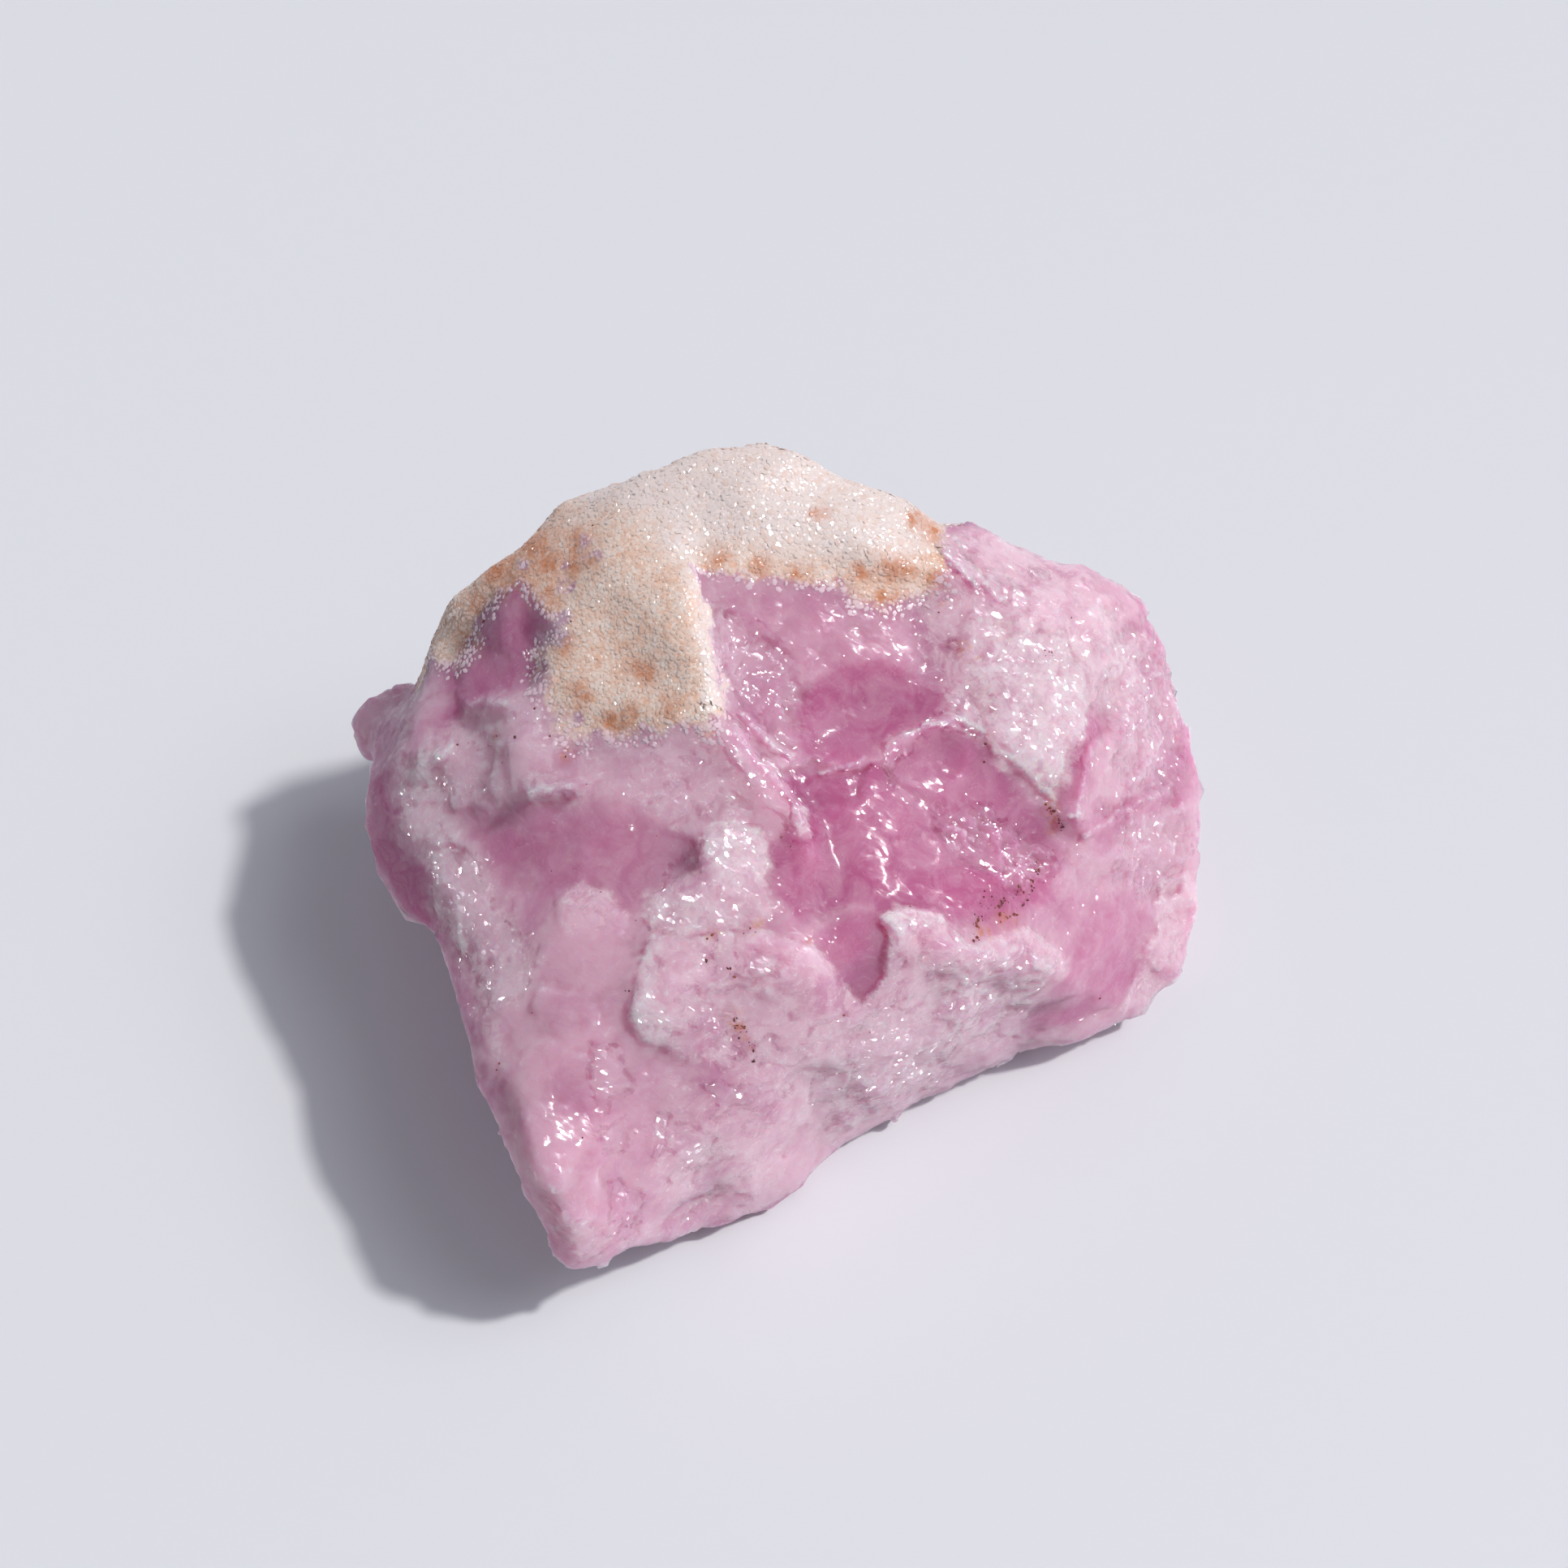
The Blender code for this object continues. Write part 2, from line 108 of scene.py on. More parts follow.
SNOW_AND_PAINTED_LIGHT = {
    "edge": (1.0, 0.3, [(-7.6, 17.2, 0.6), (-6.8, 16.6), (-6.1, 13.4), (-5.1, 8.8), (-4.4, 6.0),
        (-5.4, 5.4, 0.5), (-6.1, 8.5, 0.6), (-6.9, 12.2, 0.7), (-7.8, 15.4, 0.8)]),
    "left ridge": (0.28, 0.8, [(-29.8, 1.9), (-27.2, 2.6), (-25.9, -0.6), (-25.0, -4.0), (-22.5, -8.1),
        (-19.8, -11.5), (-19.0, -14.3, 0.5), (-20.0, -16.9, 0.4), (-23.4, -17.3, 0.7), (-25.0, -12.8, 0.7),
        (-27.1, -8.7, 0.7), (-27.9, -4.9, 0.7), (-29.5, -1.5, 0.7)]),
    "left rim low": (0.4, 0.6, [(-24.2, -17.1, 0.4), (-22.6, -17.1), (-21.8, -20.9), (-22.1, -22.8),
        (-23.1, -20.9, 0.4)]),
    "ridge knots": (0.6, 0.4, [(-29.0, 1.3), (-27.9, 2.6), (-26.1, 3.0), (-25.6, 1.9), (-27.2, 0.7),
        (-28.4, -0.1)]),
    "frost knots": (0.5, 0.4, [(-19.8, -0.6), (-18.4, 0.0), (-16.4, 0.1), (-15.9, -0.9), (-17.9, -1.5),
        (-19.4, -1.5)]),
    "knob": (0.55, 0.4, [(-6.8, -4.6), (-6.0, -3.2), (-4.1, -2.9), (-2.2, -3.5), (-1.1, -5.2),
        (-1.5, -7.1, 0.5), (-4.1, -7.8, 0.8), (-6.2, -6.8, 0.5)]),
    "bridge": (0.4, 0.4, [(-10.0, -11.2), (-10.9, -10.1), (-10.2, -8.5, 0.5), (-7.2, -7.9, 0.8),
        (-4.1, -9.0, 0.8), (-4.1, -11.1, 0.3)]),
    "slab end": (0.5, 0.3, [(-11.5, -17.8), (-11.2, -14.6), (-10.4, -12.1), (-9.0, -12.0, 0.4),
        (-10.0, -14.6, 0.5), (-10.0, -17.1, 0.5), (-9.0, -19.3, 0.6), (-9.6, -20.5, 0.4), (-10.9, -19.9)]),
    "scallop": (0.6, 0.3, [(20.9, -1.5), (19.4, -0.4), (17.8, 1.1), (16.0, 1.9), (15.6, 3.2, 0.5),
        (17.8, 2.9, 0.8), (19.9, 1.3, 0.8), (21.5, 1.9, 0.5), (21.5, 0.4)]),
    "plateau": (0.5, 1.5, [(16.5, 14.1), (23.4, 11.0), (24.0, 7.2, 1.0), (21.2, -0.2, 0.6),
        (17.8, 2.2, 0.6), (14.9, 6.3, 0.8), (14.0, 11.6)]),
    "right bumps": (0.35, 1.5, [(24.0, 12.9), (28.4, 11.0), (30.9, 5.4), (27.1, 2.2), (24.6, 6.6)]),
    # Painted light: whitens the lower front, which faces away from the lamp, so that it reads as brightly
    # lit.
    "lower mid": (0.15, 1.5, [(-9.1, -25.9), (-4.1, -25.9), (-0.4, -27.8), (-2.2, -31.5), (-7.2, -32.1)]),
    "spike": (0.7, 0.2, [(7.5, -10.1), (8.6, -9.4), (11.6, -9.6), (12.2, -10.4, 0.3), (10.2, -11.2, 0.5),
        (8.9, -11.5, 0.4)]),
    "shards": (0.6, 0.2, [(0.6, -1.6), (1.5, -1.9), (1.9, -2.6), (1.2, -3.5), (0.6, -2.9)]),
    "crest": (1.0, 1.5, [(-16.6, 20.4), (-12.9, 21.5), (-10.4, 20.1, 2.0), (-8.8, 17.2), (-6.5, 17.1, 1.2),
        (-5.4, 18.4), (-0.4, 18.1), (4.6, 17.2, 1.8), (7.8, 16.9, 1.8), (10.2, 17.9), (11.9, 19.1, 1.0),
        (12.8, 22.9, 1.0), (2.1, 28.5, 1.0), (-7.2, 28.5, 1.0), (-15.4, 24.1, 1.0)]),
}
DEEP_AND_PAINTED_SHADE = {
    "pink patch": (0.8, 0.6, [(-26.6, 4.1, 1.5), (-27.2, 5.1, 1.2), (-26.1, 7.2, 1.0), (-25.2, 9.6, 0.8),
        (-23.4, 11.3, 0.8), (-22.9, 13.1), (-21.6, 14.2), (-19.8, 14.6), (-18.0, 13.5), (-18.6, 11.9),
        (-18.9, 10.4), (-18.6, 8.6, 0.7), (-20.1, 7.8, 0.8), (-21.6, 7.2, 1.0), (-23.5, 6.5, 1.2),
        (-25.1, 5.1, 1.5)]),
    "trough": (0.65, 1.8, [(-25.2, -2.8, 2.5), (-22.9, -1.9, 2.5), (-19.8, -1.8, 2.2), (-16.6, -1.8, 2.0),
        (-12.2, -1.8), (-9.6, -3.2, 0.9), (-6.9, -4.4, 0.4), (-6.5, -6.6, 0.2), (-7.6, -7.5, 0.6),
        (-10.4, -9.0, 0.6), (-12.8, -9.8, 0.5), (-14.4, -8.2, 0.8), (-16.6, -7.6, 1.2), (-20.4, -7.6, 1.6),
        (-22.9, -6.0), (-24.6, -4.5)]),
    "core": (1.0, 0.8, [(1.8, 7.1, 1.0), (4.0, 9.0), (6.8, 9.6), (10.2, 8.2), (12.6, 7.2, 0.5),
        (12.5, 5.4, 0.4), (9.9, 4.6, 0.4), (8.0, 3.6, 0.4), (7.2, 1.8, 0.6), (4.6, 1.1, 0.6), (2.1, 2.2),
        (1.2, 4.8, 1.0)]),
    "core foot": (1.0, 0.6, [(-0.4, 0.7, 1.0), (4.6, 1.0), (7.4, 1.3), (10.2, -1.2, 1.0),
        (12.8, -4.6, 1.2), (20.2, -6.8, 1.5), (20.9, -9.0, 1.5), (15.9, -11.5, 1.0), (12.1, -9.6, 0.4),
        (7.5, -10.1, 0.4), (5.9, -9.0), (2.1, -10.2, 0.8), (-1.0, -9.0), (-1.6, -5.2), (0.6, -2.1, 1.0)]),
    "core right": (0.85, 0.5, [(8.2, 3.2, 0.6), (11.5, 4.1), (14.6, 3.8), (17.1, 1.3), (20.2, -2.1, 0.6),
        (22.0, -5.9, 1.0), (20.2, -7.8, 1.0), (14.6, -5.9, 1.2), (9.6, -2.8, 1.0), (7.8, 0.4, 0.6)]),
    "upper hollow": (0.45, 1.5, [(-5.4, 15.1, 1.0), (2.1, 15.7, 1.2), (8.4, 13.5), (13.7, 11.0),
        (12.1, 7.6, 1.2), (2.1, 8.5), (-1.0, 10.4), (-3.8, 11.9)]),
    "notch": (0.7, 0.2, [(3.1, -10.9, 0.8), (3.5, -13.2, 0.3), (4.8, -15.6), (6.0, -16.8), (7.5, -14.9),
        (7.9, -12.8), (7.5, -10.4, 0.3), (6.0, -9.5, 0.6), (4.3, -9.8, 0.8)]),
    "end facet": (0.85, 0.4, [(23.7, 6.1, 0.5), (24.8, 5.1, 0.6), (24.0, 2.9, 0.6), (23.4, -0.6, 0.6),
        (22.0, -2.4), (21.0, -1.2), (21.6, 1.9), (23.1, 3.2)]),
    "end band": (0.6, 0.6, [(22.6, -2.9, 0.4), (25.4, -1.5, 0.5), (29.6, -0.4), (30.2, -1.5), (27.4, -2.8),
        (24.0, -4.9, 0.8)]),
    "lower right": (0.55, 0.6, [(21.6, -14.0, 0.8), (22.8, -9.0, 1.5), (27.1, -8.4, 1.0), (28.8, -10.9),
        (27.8, -14.0, 0.8), (26.1, -17.1), (19.0, -19.1)]),
    # The left wall, turned from the lamp, is painted deep pink: partly the stone's own colour, partly painted
    # shade.
    "left wall": (1.0, 0.6, [(-31.9, 0.4), (-30.1, 1.0), (-29.6, -4.6, 0.8), (-27.2, -8.4, 1.0),
        (-25.4, -12.1, 1.0), (-26.6, -12.1, 1.0), (-29.8, -9.6), (-32.2, -4.6)]),
}
VEIL_AND_PAINTED_LIGHT = {
    "plateau": (1.1, 0.3, [(11.6, 19.0, 0.5), (16.5, 19.8, 0.8), (20.9, 17.9, 0.8), (25.4, 14.4, 0.8),
        (26.8, 11.0, 1.5), (24.8, 7.7, 1.2), (23.5, 6.1, 0.4), (23.3, 4.7), (22.9, 3.2), (21.6, 2.4),
        (21.4, 1.0), (20.6, -1.4), (19.4, -0.2, 0.2), (18.1, 1.1, 0.2), (16.9, 2.0, 0.2), (16.0, 2.1, 0.2),
        (15.7, 3.8, 0.2), (13.0, 5.2), (12.4, 7.6, 0.8), (11.8, 9.4, 1.2), (10.6, 11.6, 1.5),
        (9.9, 14.4, 1.5)]),
    "hollow haze": (0.12, 1.5, [(-5.4, 16.0, 1.0), (-3.8, 12.9), (-0.4, 11.6), (4.0, 11.0), (9.0, 9.1),
        (12.8, 7.2, 1.0), (14.6, 12.9, 2.0), (12.1, 16.6, 1.0), (5.9, 13.8, 1.0), (4.6, 11.0), (-1.0, 12.6),
        (-3.5, 15.4, 1.0)]),
    "left frost": (0.58, 1.0, [(-27.8, 3.8), (-24.8, 5.4), (-21.6, 6.8), (-17.2, 5.4), (-12.9, 3.8),
        (-4.8, 4.1, 0.8), (-1.9, 1.0), (-3.8, -2.8), (-6.8, -4.0, 0.8), (-9.4, -2.9, 0.8),
        (-12.2, -1.1, 0.8), (-16.6, -0.9, 0.8), (-22.2, -1.0, 0.8), (-25.4, -2.1), (-27.9, 0.1)]),
    "left ridge": (0.45, 0.8, [(-29.1, 2.2), (-27.6, 1.3, 1.0), (-25.4, -2.4, 1.0), (-23.0, -6.4, 1.0),
        (-19.8, -10.2, 1.0), (-18.6, -13.4, 0.6), (-19.9, -17.0, 0.4), (-24.1, -17.5), (-25.6, -12.4),
        (-27.6, -9.0), (-28.5, -4.6), (-30.4, -1.5)]),
    "knob": (1.0, 0.2, [(-6.8, -4.6), (-6.0, -3.2), (-4.1, -2.9), (-2.2, -3.5), (-1.1, -5.2),
        (-1.5, -7.1, 0.3), (-1.0, -9.6, 0.4), (-1.9, -11.2), (-5.4, -11.4), (-10.0, -11.2),
        (-11.0, -10.1, 0.4), (-10.4, -8.4, 0.4), (-8.5, -7.4, 0.4), (-6.5, -6.9)]),
    "slab": (0.85, 0.2, [(-10.4, -11.6), (-6.0, -11.6), (-1.6, -11.3), (2.1, -12.4, 0.3), (3.5, -13.5),
        (4.8, -15.6), (6.0, -16.9), (7.6, -14.9), (8.0, -12.1), (7.5, -10.1), (9.1, -9.5), (11.8, -9.6),
        (12.8, -11.0, 0.3), (14.6, -12.4, 0.3), (17.1, -11.4, 0.3), (18.5, -10.9, 0.3), (20.2, -12.0, 0.4),
        (21.8, -13.5, 0.5), (20.2, -16.2, 0.8), (18.7, -18.1, 1.0), (13.7, -21.4, 1.5), (9.6, -24.8, 1.5),
        (5.9, -26.5, 1.5), (2.1, -27.1, 2.0), (-1.0, -25.2, 2.5), (-3.8, -22.8, 2.0), (-7.2, -21.1, 1.0),
        (-9.6, -20.4, 0.4), (-11.1, -19.6), (-11.9, -17.9), (-11.6, -15.4), (-11.0, -13.4)]),
    "lump top": (0.6, 0.3, [(-17.4, -9.1, 0.4), (-16.6, -8.1), (-15.6, -7.6), (-13.8, -8.2), (-12.2, -9.9),
        (-13.8, -11.5, 1.0), (-16.6, -11.2, 1.0)]),
    "end block": (0.6, 0.5, [(29.0, -7.6, 0.2), (31.0, -6.9, 0.3), (32.4, -8.4), (32.1, -13.4),
        (30.6, -16.8), (26.2, -17.5, 0.3), (27.2, -13.7, 0.4), (28.8, -11.5, 0.2)]),
    # Painted light: pales the lower front, which faces away from the lamp, so that it reads as brightly lit.
    "lower pale": (0.6, 1.5, [(-10.4, -27.1), (-8.5, -23.4), (-4.1, -24.0), (0.9, -26.5),
        (-0.4, -29.6, 2.0), (-4.1, -33.4, 2.0), (-8.5, -33.4, 2.0), (-10.4, -30.2, 2.0)]),
    "tip": (0.45, 1.0, [(-20.4, -29.6, 2.0), (-16.6, -32.8, 2.0), (-7.2, -33.4, 2.0), (-4.1, -34.6),
        (-15.4, -37.1), (-19.1, -33.4)]),
}
HACKLE = {
    "scarp ribs": (0.8, 1.2, [(-6.1, 14.4, 0.8), (-4.1, 13.8, 1.0), (-0.4, 11.0), (2.8, 7.6), (1.5, 4.4),
        (-1.0, 4.8), (-3.2, 6.0, 1.0), (-4.9, 8.8, 0.5)]),
    "hollow": (0.18, 1.5, [(3.4, 14.1, 1.0), (8.4, 14.4), (14.0, 13.5), (17.1, 10.4), (14.0, 6.5, 1.2),
        (8.4, 9.0), (4.0, 11.0)]),
    "plateau": (0.9, 1.5, [(15.2, 11.0), (20.9, 11.0), (24.0, 7.9, 1.2), (23.4, 4.1, 1.0),
        (20.9, -0.6, 1.0), (17.4, 2.2, 1.2), (14.9, 6.0)]),
    "right bumps": (0.8, 1.2, [(23.7, 11.0), (28.1, 12.9), (30.9, 6.6, 1.0), (31.5, 0.4, 1.0),
        (27.1, -1.5, 1.5), (24.9, 4.1)]),
    "glint ribs": (1.3, 1.0, [(12.1, -2.8), (14.0, -1.5), (17.1, -2.8, 0.8), (20.6, -4.9, 0.8),
        (21.2, -6.5), (17.8, -7.4), (13.4, -5.6)]),
    "right end": (0.8, 1.0, [(25.2, -2.1), (30.2, 0.4), (31.5, -5.2), (27.8, -9.0, 1.2), (25.9, -7.1)]),
    "slab right": (0.8, 1.0, [(10.9, -13.4, 1.5), (17.8, -11.5), (21.2, -13.4), (19.0, -17.8, 1.2),
        (12.1, -18.4, 1.5)]),
    "core edge": (0.3, 1.0, [(-4.1, 4.1), (0.6, 3.8), (2.8, 0.4), (2.1, -4.6), (-0.7, -5.2), (-1.9, -0.9)]),
    "left nodules": (0.6, 1.0, [(-30.1, 2.2), (-26.0, 2.9), (-25.4, -1.2, 1.5), (-29.1, -2.1)]),
}
SPARKLE = {
    "scarp glints": (1.2, 0.5, [(-5.9, 5.9, 0.4), (-3.8, 5.1, 0.4), (-1.0, 2.2), (1.6, -1.2), (2.1, -3.4),
        (0.6, -4.0, 0.4), (-1.9, -0.6), (-4.1, 2.2)]),
    "lens rim": (1.2, 0.3, [(7.6, 1.0), (7.9, 3.2), (9.1, 4.3), (10.9, 4.9), (13.1, 5.5), (15.4, 4.2, 0.4),
        (14.0, 3.8, 0.4), (11.5, 4.0), (9.8, 3.2), (8.9, 2.0), (8.6, 0.2)]),
    "ridge glints": (1.1, 0.8, [(-28.1, -4.3), (-25.9, -4.6), (-22.9, -8.4), (-19.8, -12.4, 0.5),
        (-19.6, -16.2, 0.4), (-22.9, -17.1, 0.6), (-25.0, -12.8), (-27.2, -8.4)]),
    "streak a": (0.9, 0.5, [(-14.9, -20.2), (-12.6, -20.1), (-11.9, -22.8), (-13.5, -24.8), (-14.4, -23.4)]),
    "streak b": (0.9, 0.5, [(-14.2, -26.2), (-12.5, -26.0), (-12.1, -28.4), (-13.6, -28.8)]),
    "streak c": (1.5, 0.4, [(-10.0, -25.9), (-9.0, -25.9), (-9.0, -29.1), (-9.8, -29.1)]),
    "streak d": (1.4, 0.5, [(-6.5, -22.8), (-3.8, -23.4, 0.6), (-2.5, -25.2), (-5.4, -25.4, 0.6)]),
    "streak e": (1.3, 0.5, [(-13.5, -30.9), (-11.0, -31.5), (-10.6, -33.6), (-12.6, -33.8)]),
    "slab top": (1.2, 0.5, [(-2.6, -12.9, 0.6), (-0.2, -13.1, 0.6), (-0.2, -15.4), (-2.2, -15.1)]),
    "slab mid": (1.2, 0.4, [(-2.4, -19.6), (-0.9, -19.6), (-1.0, -21.4), (-2.2, -21.4)]),
    "tip glints": (1.5, 0.5, [(-8.2, -26.2), (-5.6, -26.6, 0.6), (-5.1, -28.7, 0.6), (-6.5, -29.9),
        (-8.0, -28.9)]),
    "slab ripples": (1.3, 0.8, [(-8.0, -16.6), (-6.5, -16.4), (-5.1, -18.1), (-3.5, -20.9), (-5.1, -20.9),
        (-7.2, -19.3)]),
    "slab foot": (1.1, 1.0, [(7.1, -17.1), (13.4, -18.1), (12.1, -22.8, 1.2), (5.9, -25.2, 1.2),
        (4.6, -20.9)]),
    "knob": (0.7, 0.5, [(-6.6, -3.4), (-2.2, -3.1), (-1.0, -7.1), (-2.2, -11.2), (-10.4, -11.2),
        (-9.8, -8.1)]),
    "crest facet": (1.0, 0.4, [(11.6, 19.0), (13.7, 17.9), (14.8, 15.2), (13.4, 15.2), (11.9, 17.2)]),
}

# Small spots, as (across, up, half width) in mm: rusty ones, and gaps in the crust where the pink shows.
RUST = [(20.9, -2.1, 0.6), (20.1, -1.2, 0.5), (20.6, -2.9, 0.4), (2.1, -12.1, 0.5), (-5.5, -11.7, 0.4),
        (-2.5, -11.2, 0.5), (-3.4, -18.5, 0.9), (-2.9, -19.6, 0.5), (17.1, -9.9, 0.8), (15.6, -11.5, 0.6),
        (14.0, 10.7, 0.6), (15.2, 9.6, 0.5), (-22.1, 3.4, 0.5), (-16.6, 2.4, 0.6), (11.9, 13.2, 0.3),
        (-19.6, 18.8, 2.1), (-18.6, 17.1, 1.8), (-16.1, 18.6, 1.3), (-15.9, 17.2, 1.1), (-20.4, 20.4, 1.6),
        (-20.9, 15.2, 1.6), (-22.2, 16.6, 1.6), (-18.0, 14.9, 1.0), (-23.6, 13.6, 1.1), (-24.2, 11.1, 1.1),
        (-16.6, 10.4, 0.9), (-15.4, 7.2, 0.8), (-11.0, 8.5, 1.0), (-12.6, 5.4, 0.9), (-8.5, 6.0, 0.8),
        (2.7, 20.8, 0.6), (11.2, 19.5, 1.0), (8.7, 16.6, 1.4), (11.5, 15.4, 1.0), (7.7, 14.0, 0.9),
        (5.9, 15.9, 0.9), (-1.6, 16.9, 0.9), (-4.8, 17.2, 0.8), (1.2, 16.6, 0.8), (10.2, 20.4, 0.6)]
GAPS = [(-15.2, 18.8, 0.6), (-14.4, 17.3, 0.6), (-16.6, 15.6, 0.6), (-16.8, 13.2, 0.8), (-17.1, 11.3, 0.8),
        (-18.2, 12.2, 0.9), (-20.4, 16.6, 0.6), (-3.8, 15.9, 0.8), (-16.6, 17.2, 0.4), (-13.8, 3.8, 0.8),
        (-11.0, 4.1, 0.8), (-15.7, 5.4, 0.8)]

# Crisp forms on the show face, on the ones that the solid has: how far each rises towards the eye (a hollow
# sinks), and its outline in the same terms. Then the ribs: height, half width, and the line along the top.
SHARP_FORMS = {
    "plateau": (0.22, 0.2, [(12.1, 19.0, 0.3), (16.5, 20.4, 0.6), (20.9, 18.5, 0.8), (25.4, 14.4, 1),
        (26.8, 11.0, 1.5), (24.8, 7.7, 1), (23.5, 6.1, 0.25), (23.3, 4.7), (22.9, 3.2), (21.6, 2.4),
        (21.4, 1.0), (20.6, -1.4), (19.4, -0.2), (18.1, 1.1), (16.9, 2.0, 0.15), (16.0, 2.1, 0.15),
        (15.7, 3.8, 0.15), (13.0, 5.2), (12.6, 7.6, 0.6), (11.5, 10.4, 1.5), (11.2, 14.1, 1.5)]),
    "crust edge": (0.3, 0.2, [(-7.1, 17.1, 0.25), (-6.6, 15.2), (-6.1, 13.4), (-5.8, 11.0), (-5.1, 8.8),
        (-4.6, 6.5), (-4.5, 4.9, 0.3), (-6.6, 5.4, 1.5), (-8.8, 7.2, 2.5), (-9.4, 11.6, 2.5),
        (-9.1, 16.6, 2.5)]),
    "knob": (0.22, 0.2, [(-6.8, -4.6), (-6.0, -3.2), (-4.1, -2.9, 0.25), (-2.2, -3.5, 0.25),
        (-1.1, -5.2, 0.25), (-1.5, -7.1, 0.3), (-1.0, -9.6, 0.4), (-1.9, -11.2, 0.3), (-5.4, -11.5, 0.3),
        (-10.0, -11.4), (-10.9, -10.1), (-10.2, -8.5), (-8.4, -7.4), (-6.5, -6.9)]),
    "slab": (0.3, 0.2, [(-10.4, -11.6), (-6.0, -11.6, 0.15), (-1.6, -11.3, 0.15), (2.1, -12.4),
        (3.5, -13.5), (4.8, -15.6), (6.0, -16.9), (7.6, -14.9), (8.0, -12.1), (7.5, -10.1, 0.15),
        (9.1, -9.5, 0.15), (11.8, -9.6, 0.15), (12.8, -11.0), (14.6, -12.4), (17.1, -11.4),
        (18.5, -10.9, 0.25), (20.2, -12.0, 0.3), (21.8, -13.5, 0.4), (20.2, -16.2, 0.8), (18.7, -18.1, 1),
        (13.7, -21.4, 2), (9.6, -23.4, 2), (2.1, -24.0, 3), (-3.8, -22.8, 2), (-7.2, -21.1, 0.8),
        (-9.6, -20.4, 0.3), (-11.1, -19.8), (-11.9, -17.9), (-11.6, -15.4), (-11.0, -13.4)]),
    "spike": (0.4, 0.15, [(7.5, -10.1), (8.6, -9.4), (11.6, -9.6), (12.2, -10.4, 0.2), (11.2, -11.1, 0.5),
        (9.0, -12.0, 0.6)]),
    "lump top": (0.12, 0.2, [(-17.5, -9.5, 0.3), (-16.6, -8.1), (-15.6, -7.6), (-13.8, -8.2),
        (-12.1, -10.1), (-12.2, -13.4, 1.5), (-14.1, -15.9, 2), (-17.2, -14.0, 1.5)]),
    "lens": (0.3, 0.2, [(7.9, 1.3), (8.1, 3.0), (9.2, 4.0), (10.6, 4.6, 0.25), (12.4, 5.1, 0.3),
        (14.0, 4.1, 0.4), (14.6, 2.2, 0.6), (14.0, 0.2, 0.6), (12.1, -1.2, 0.6), (10.2, -0.6, 0.5),
        (8.9, 0.5, 0.3)]),
    "end block": (0.25, 0.5, [(29.0, -7.6, 0.2), (31.0, -6.9, 0.25), (32.8, -8.4), (32.8, -13.4),
        (30.9, -17.1), (26.2, -17.5, 0.3), (27.2, -13.7, 0.3), (28.8, -11.5, 0.2)]),
    "shard": (0.4, 0.15, [(0.6, -1.6), (1.5, -1.9), (1.9, -2.6), (1.2, -3.4, 0.2), (0.6, -2.9, 0.2)]),
    "pit": (-0.4, 0.3, [(-0.4, 1.0), (2.1, 1.9), (4.6, 1.1), (6.8, 1.3), (5.9, -1.2, 0.6),
        (2.8, -2.1, 0.6), (0.6, -1.2, 0.4)]),
    "trough rim": (-0.1, 0.3, [(-22.9, -6.0, 1.5), (-20.4, -7.6, 1), (-17.5, -8.4, 0.8),
        (-14.4, -8.1, 0.5), (-12.8, -9.6, 0.4), (-10.4, -8.6), (-8.4, -7.5), (-6.6, -7.0), (-6.8, -4.4),
        (-9.4, -3.1, 1), (-12.2, -2.8, 2), (-17.9, -3.4, 3)]),
}
RIBS = [
    (0.40, 0.30, [(-3.8, 4.6), (-2.6, 2.6), (-1.1, 1.2), (-0.2, 0.4), (1.0, -1.4)]),
    (0.45, 0.25, [(-3.0, 5.4), (-1.6, 3.8), (0.6, 2.2)]),
    (0.50, 0.30, [(12.0, 18.5), (13.2, 17.1), (14.6, 15.5)]),
    (0.35, 0.25, [(13.7, 17.2), (15.2, 15.9), (16.6, 14.2)]),
    (0.50, 0.30, [(22.8, -2.5), (23.1, -0.2), (23.6, 1.8), (24.0, 3.2)]),
    (0.50, 0.30, [(23.2, -4.0), (25.1, -2.9), (27.1, -1.5), (29.4, -0.6)]),
    (0.50, 0.45, [(29.0, -7.8), (31.0, -7.1), (31.2, -8.9), (29.2, -9.2)]),
    (0.60, 0.50, [(-24.2, 6.1), (-23.4, 6.5), (-21.8, 6.6)]),
    (0.60, 0.50, [(-19.5, -0.8), (-18.6, -0.6), (-16.6, -0.4)]),
    (0.50, 0.45, [(-28.2, 0.7), (-27.2, 1.8), (-25.9, 2.9)]),
    (0.25, 0.25, [(9.1, 3.8), (11.2, 4.6), (13.4, 5.1), (15.4, 4.2)]),
    (0.35, 0.20, [(2.9, 0.9), (4.6, 1.4), (6.0, 1.9)]),
    (0.35, 0.20, [(-1.0, 0.7), (0.9, -1.5), (1.6, -2.8)]),
]

# The fracture spreads from these points, and long glassy facets run out from them: across, up, how far they
# reach, and how far off they have their full width, in mm.
STRIKES = [(5.5, 0.8, 8.0, 9.0), (0.0, 30.0, 11.0, 14.0), (21.8, -2.6, 6.0, 5.0), (-5.0, 4.0, 22.0, 20.0)]
FACET_LENGTH = 2.2
FACET_WIDTH = 0.75


def read(mesh, what):
    """Where each point of a mesh is, or which way it faces, in rows of three numbers."""
    values = np.empty(len(mesh.vertices) * 3)
    mesh.vertices.foreach_get(what, values)
    return values.reshape(-1, 3)


def move(mesh, points):
    """Sets each point of a mesh to a new place."""
    mesh.vertices.foreach_set("co", points.ravel())
    mesh.update()


def store(mesh, name, values):
    """Keeps a number or a direction for each point of a mesh, for its material to read."""
    single = values.ndim == 1
    layer = mesh.attributes.new(name, "FLOAT" if single else "FLOAT_VECTOR", "POINT")
    layer.data.foreach_set("value" if single else "vector", values.astype(np.float32).ravel())


def smooth(value):
    """An even step from 0 to 1 with soft ends."""
    share = np.clip(value, 0.0, 1.0)
    return share * share * (3.0 - 2.0 * share)


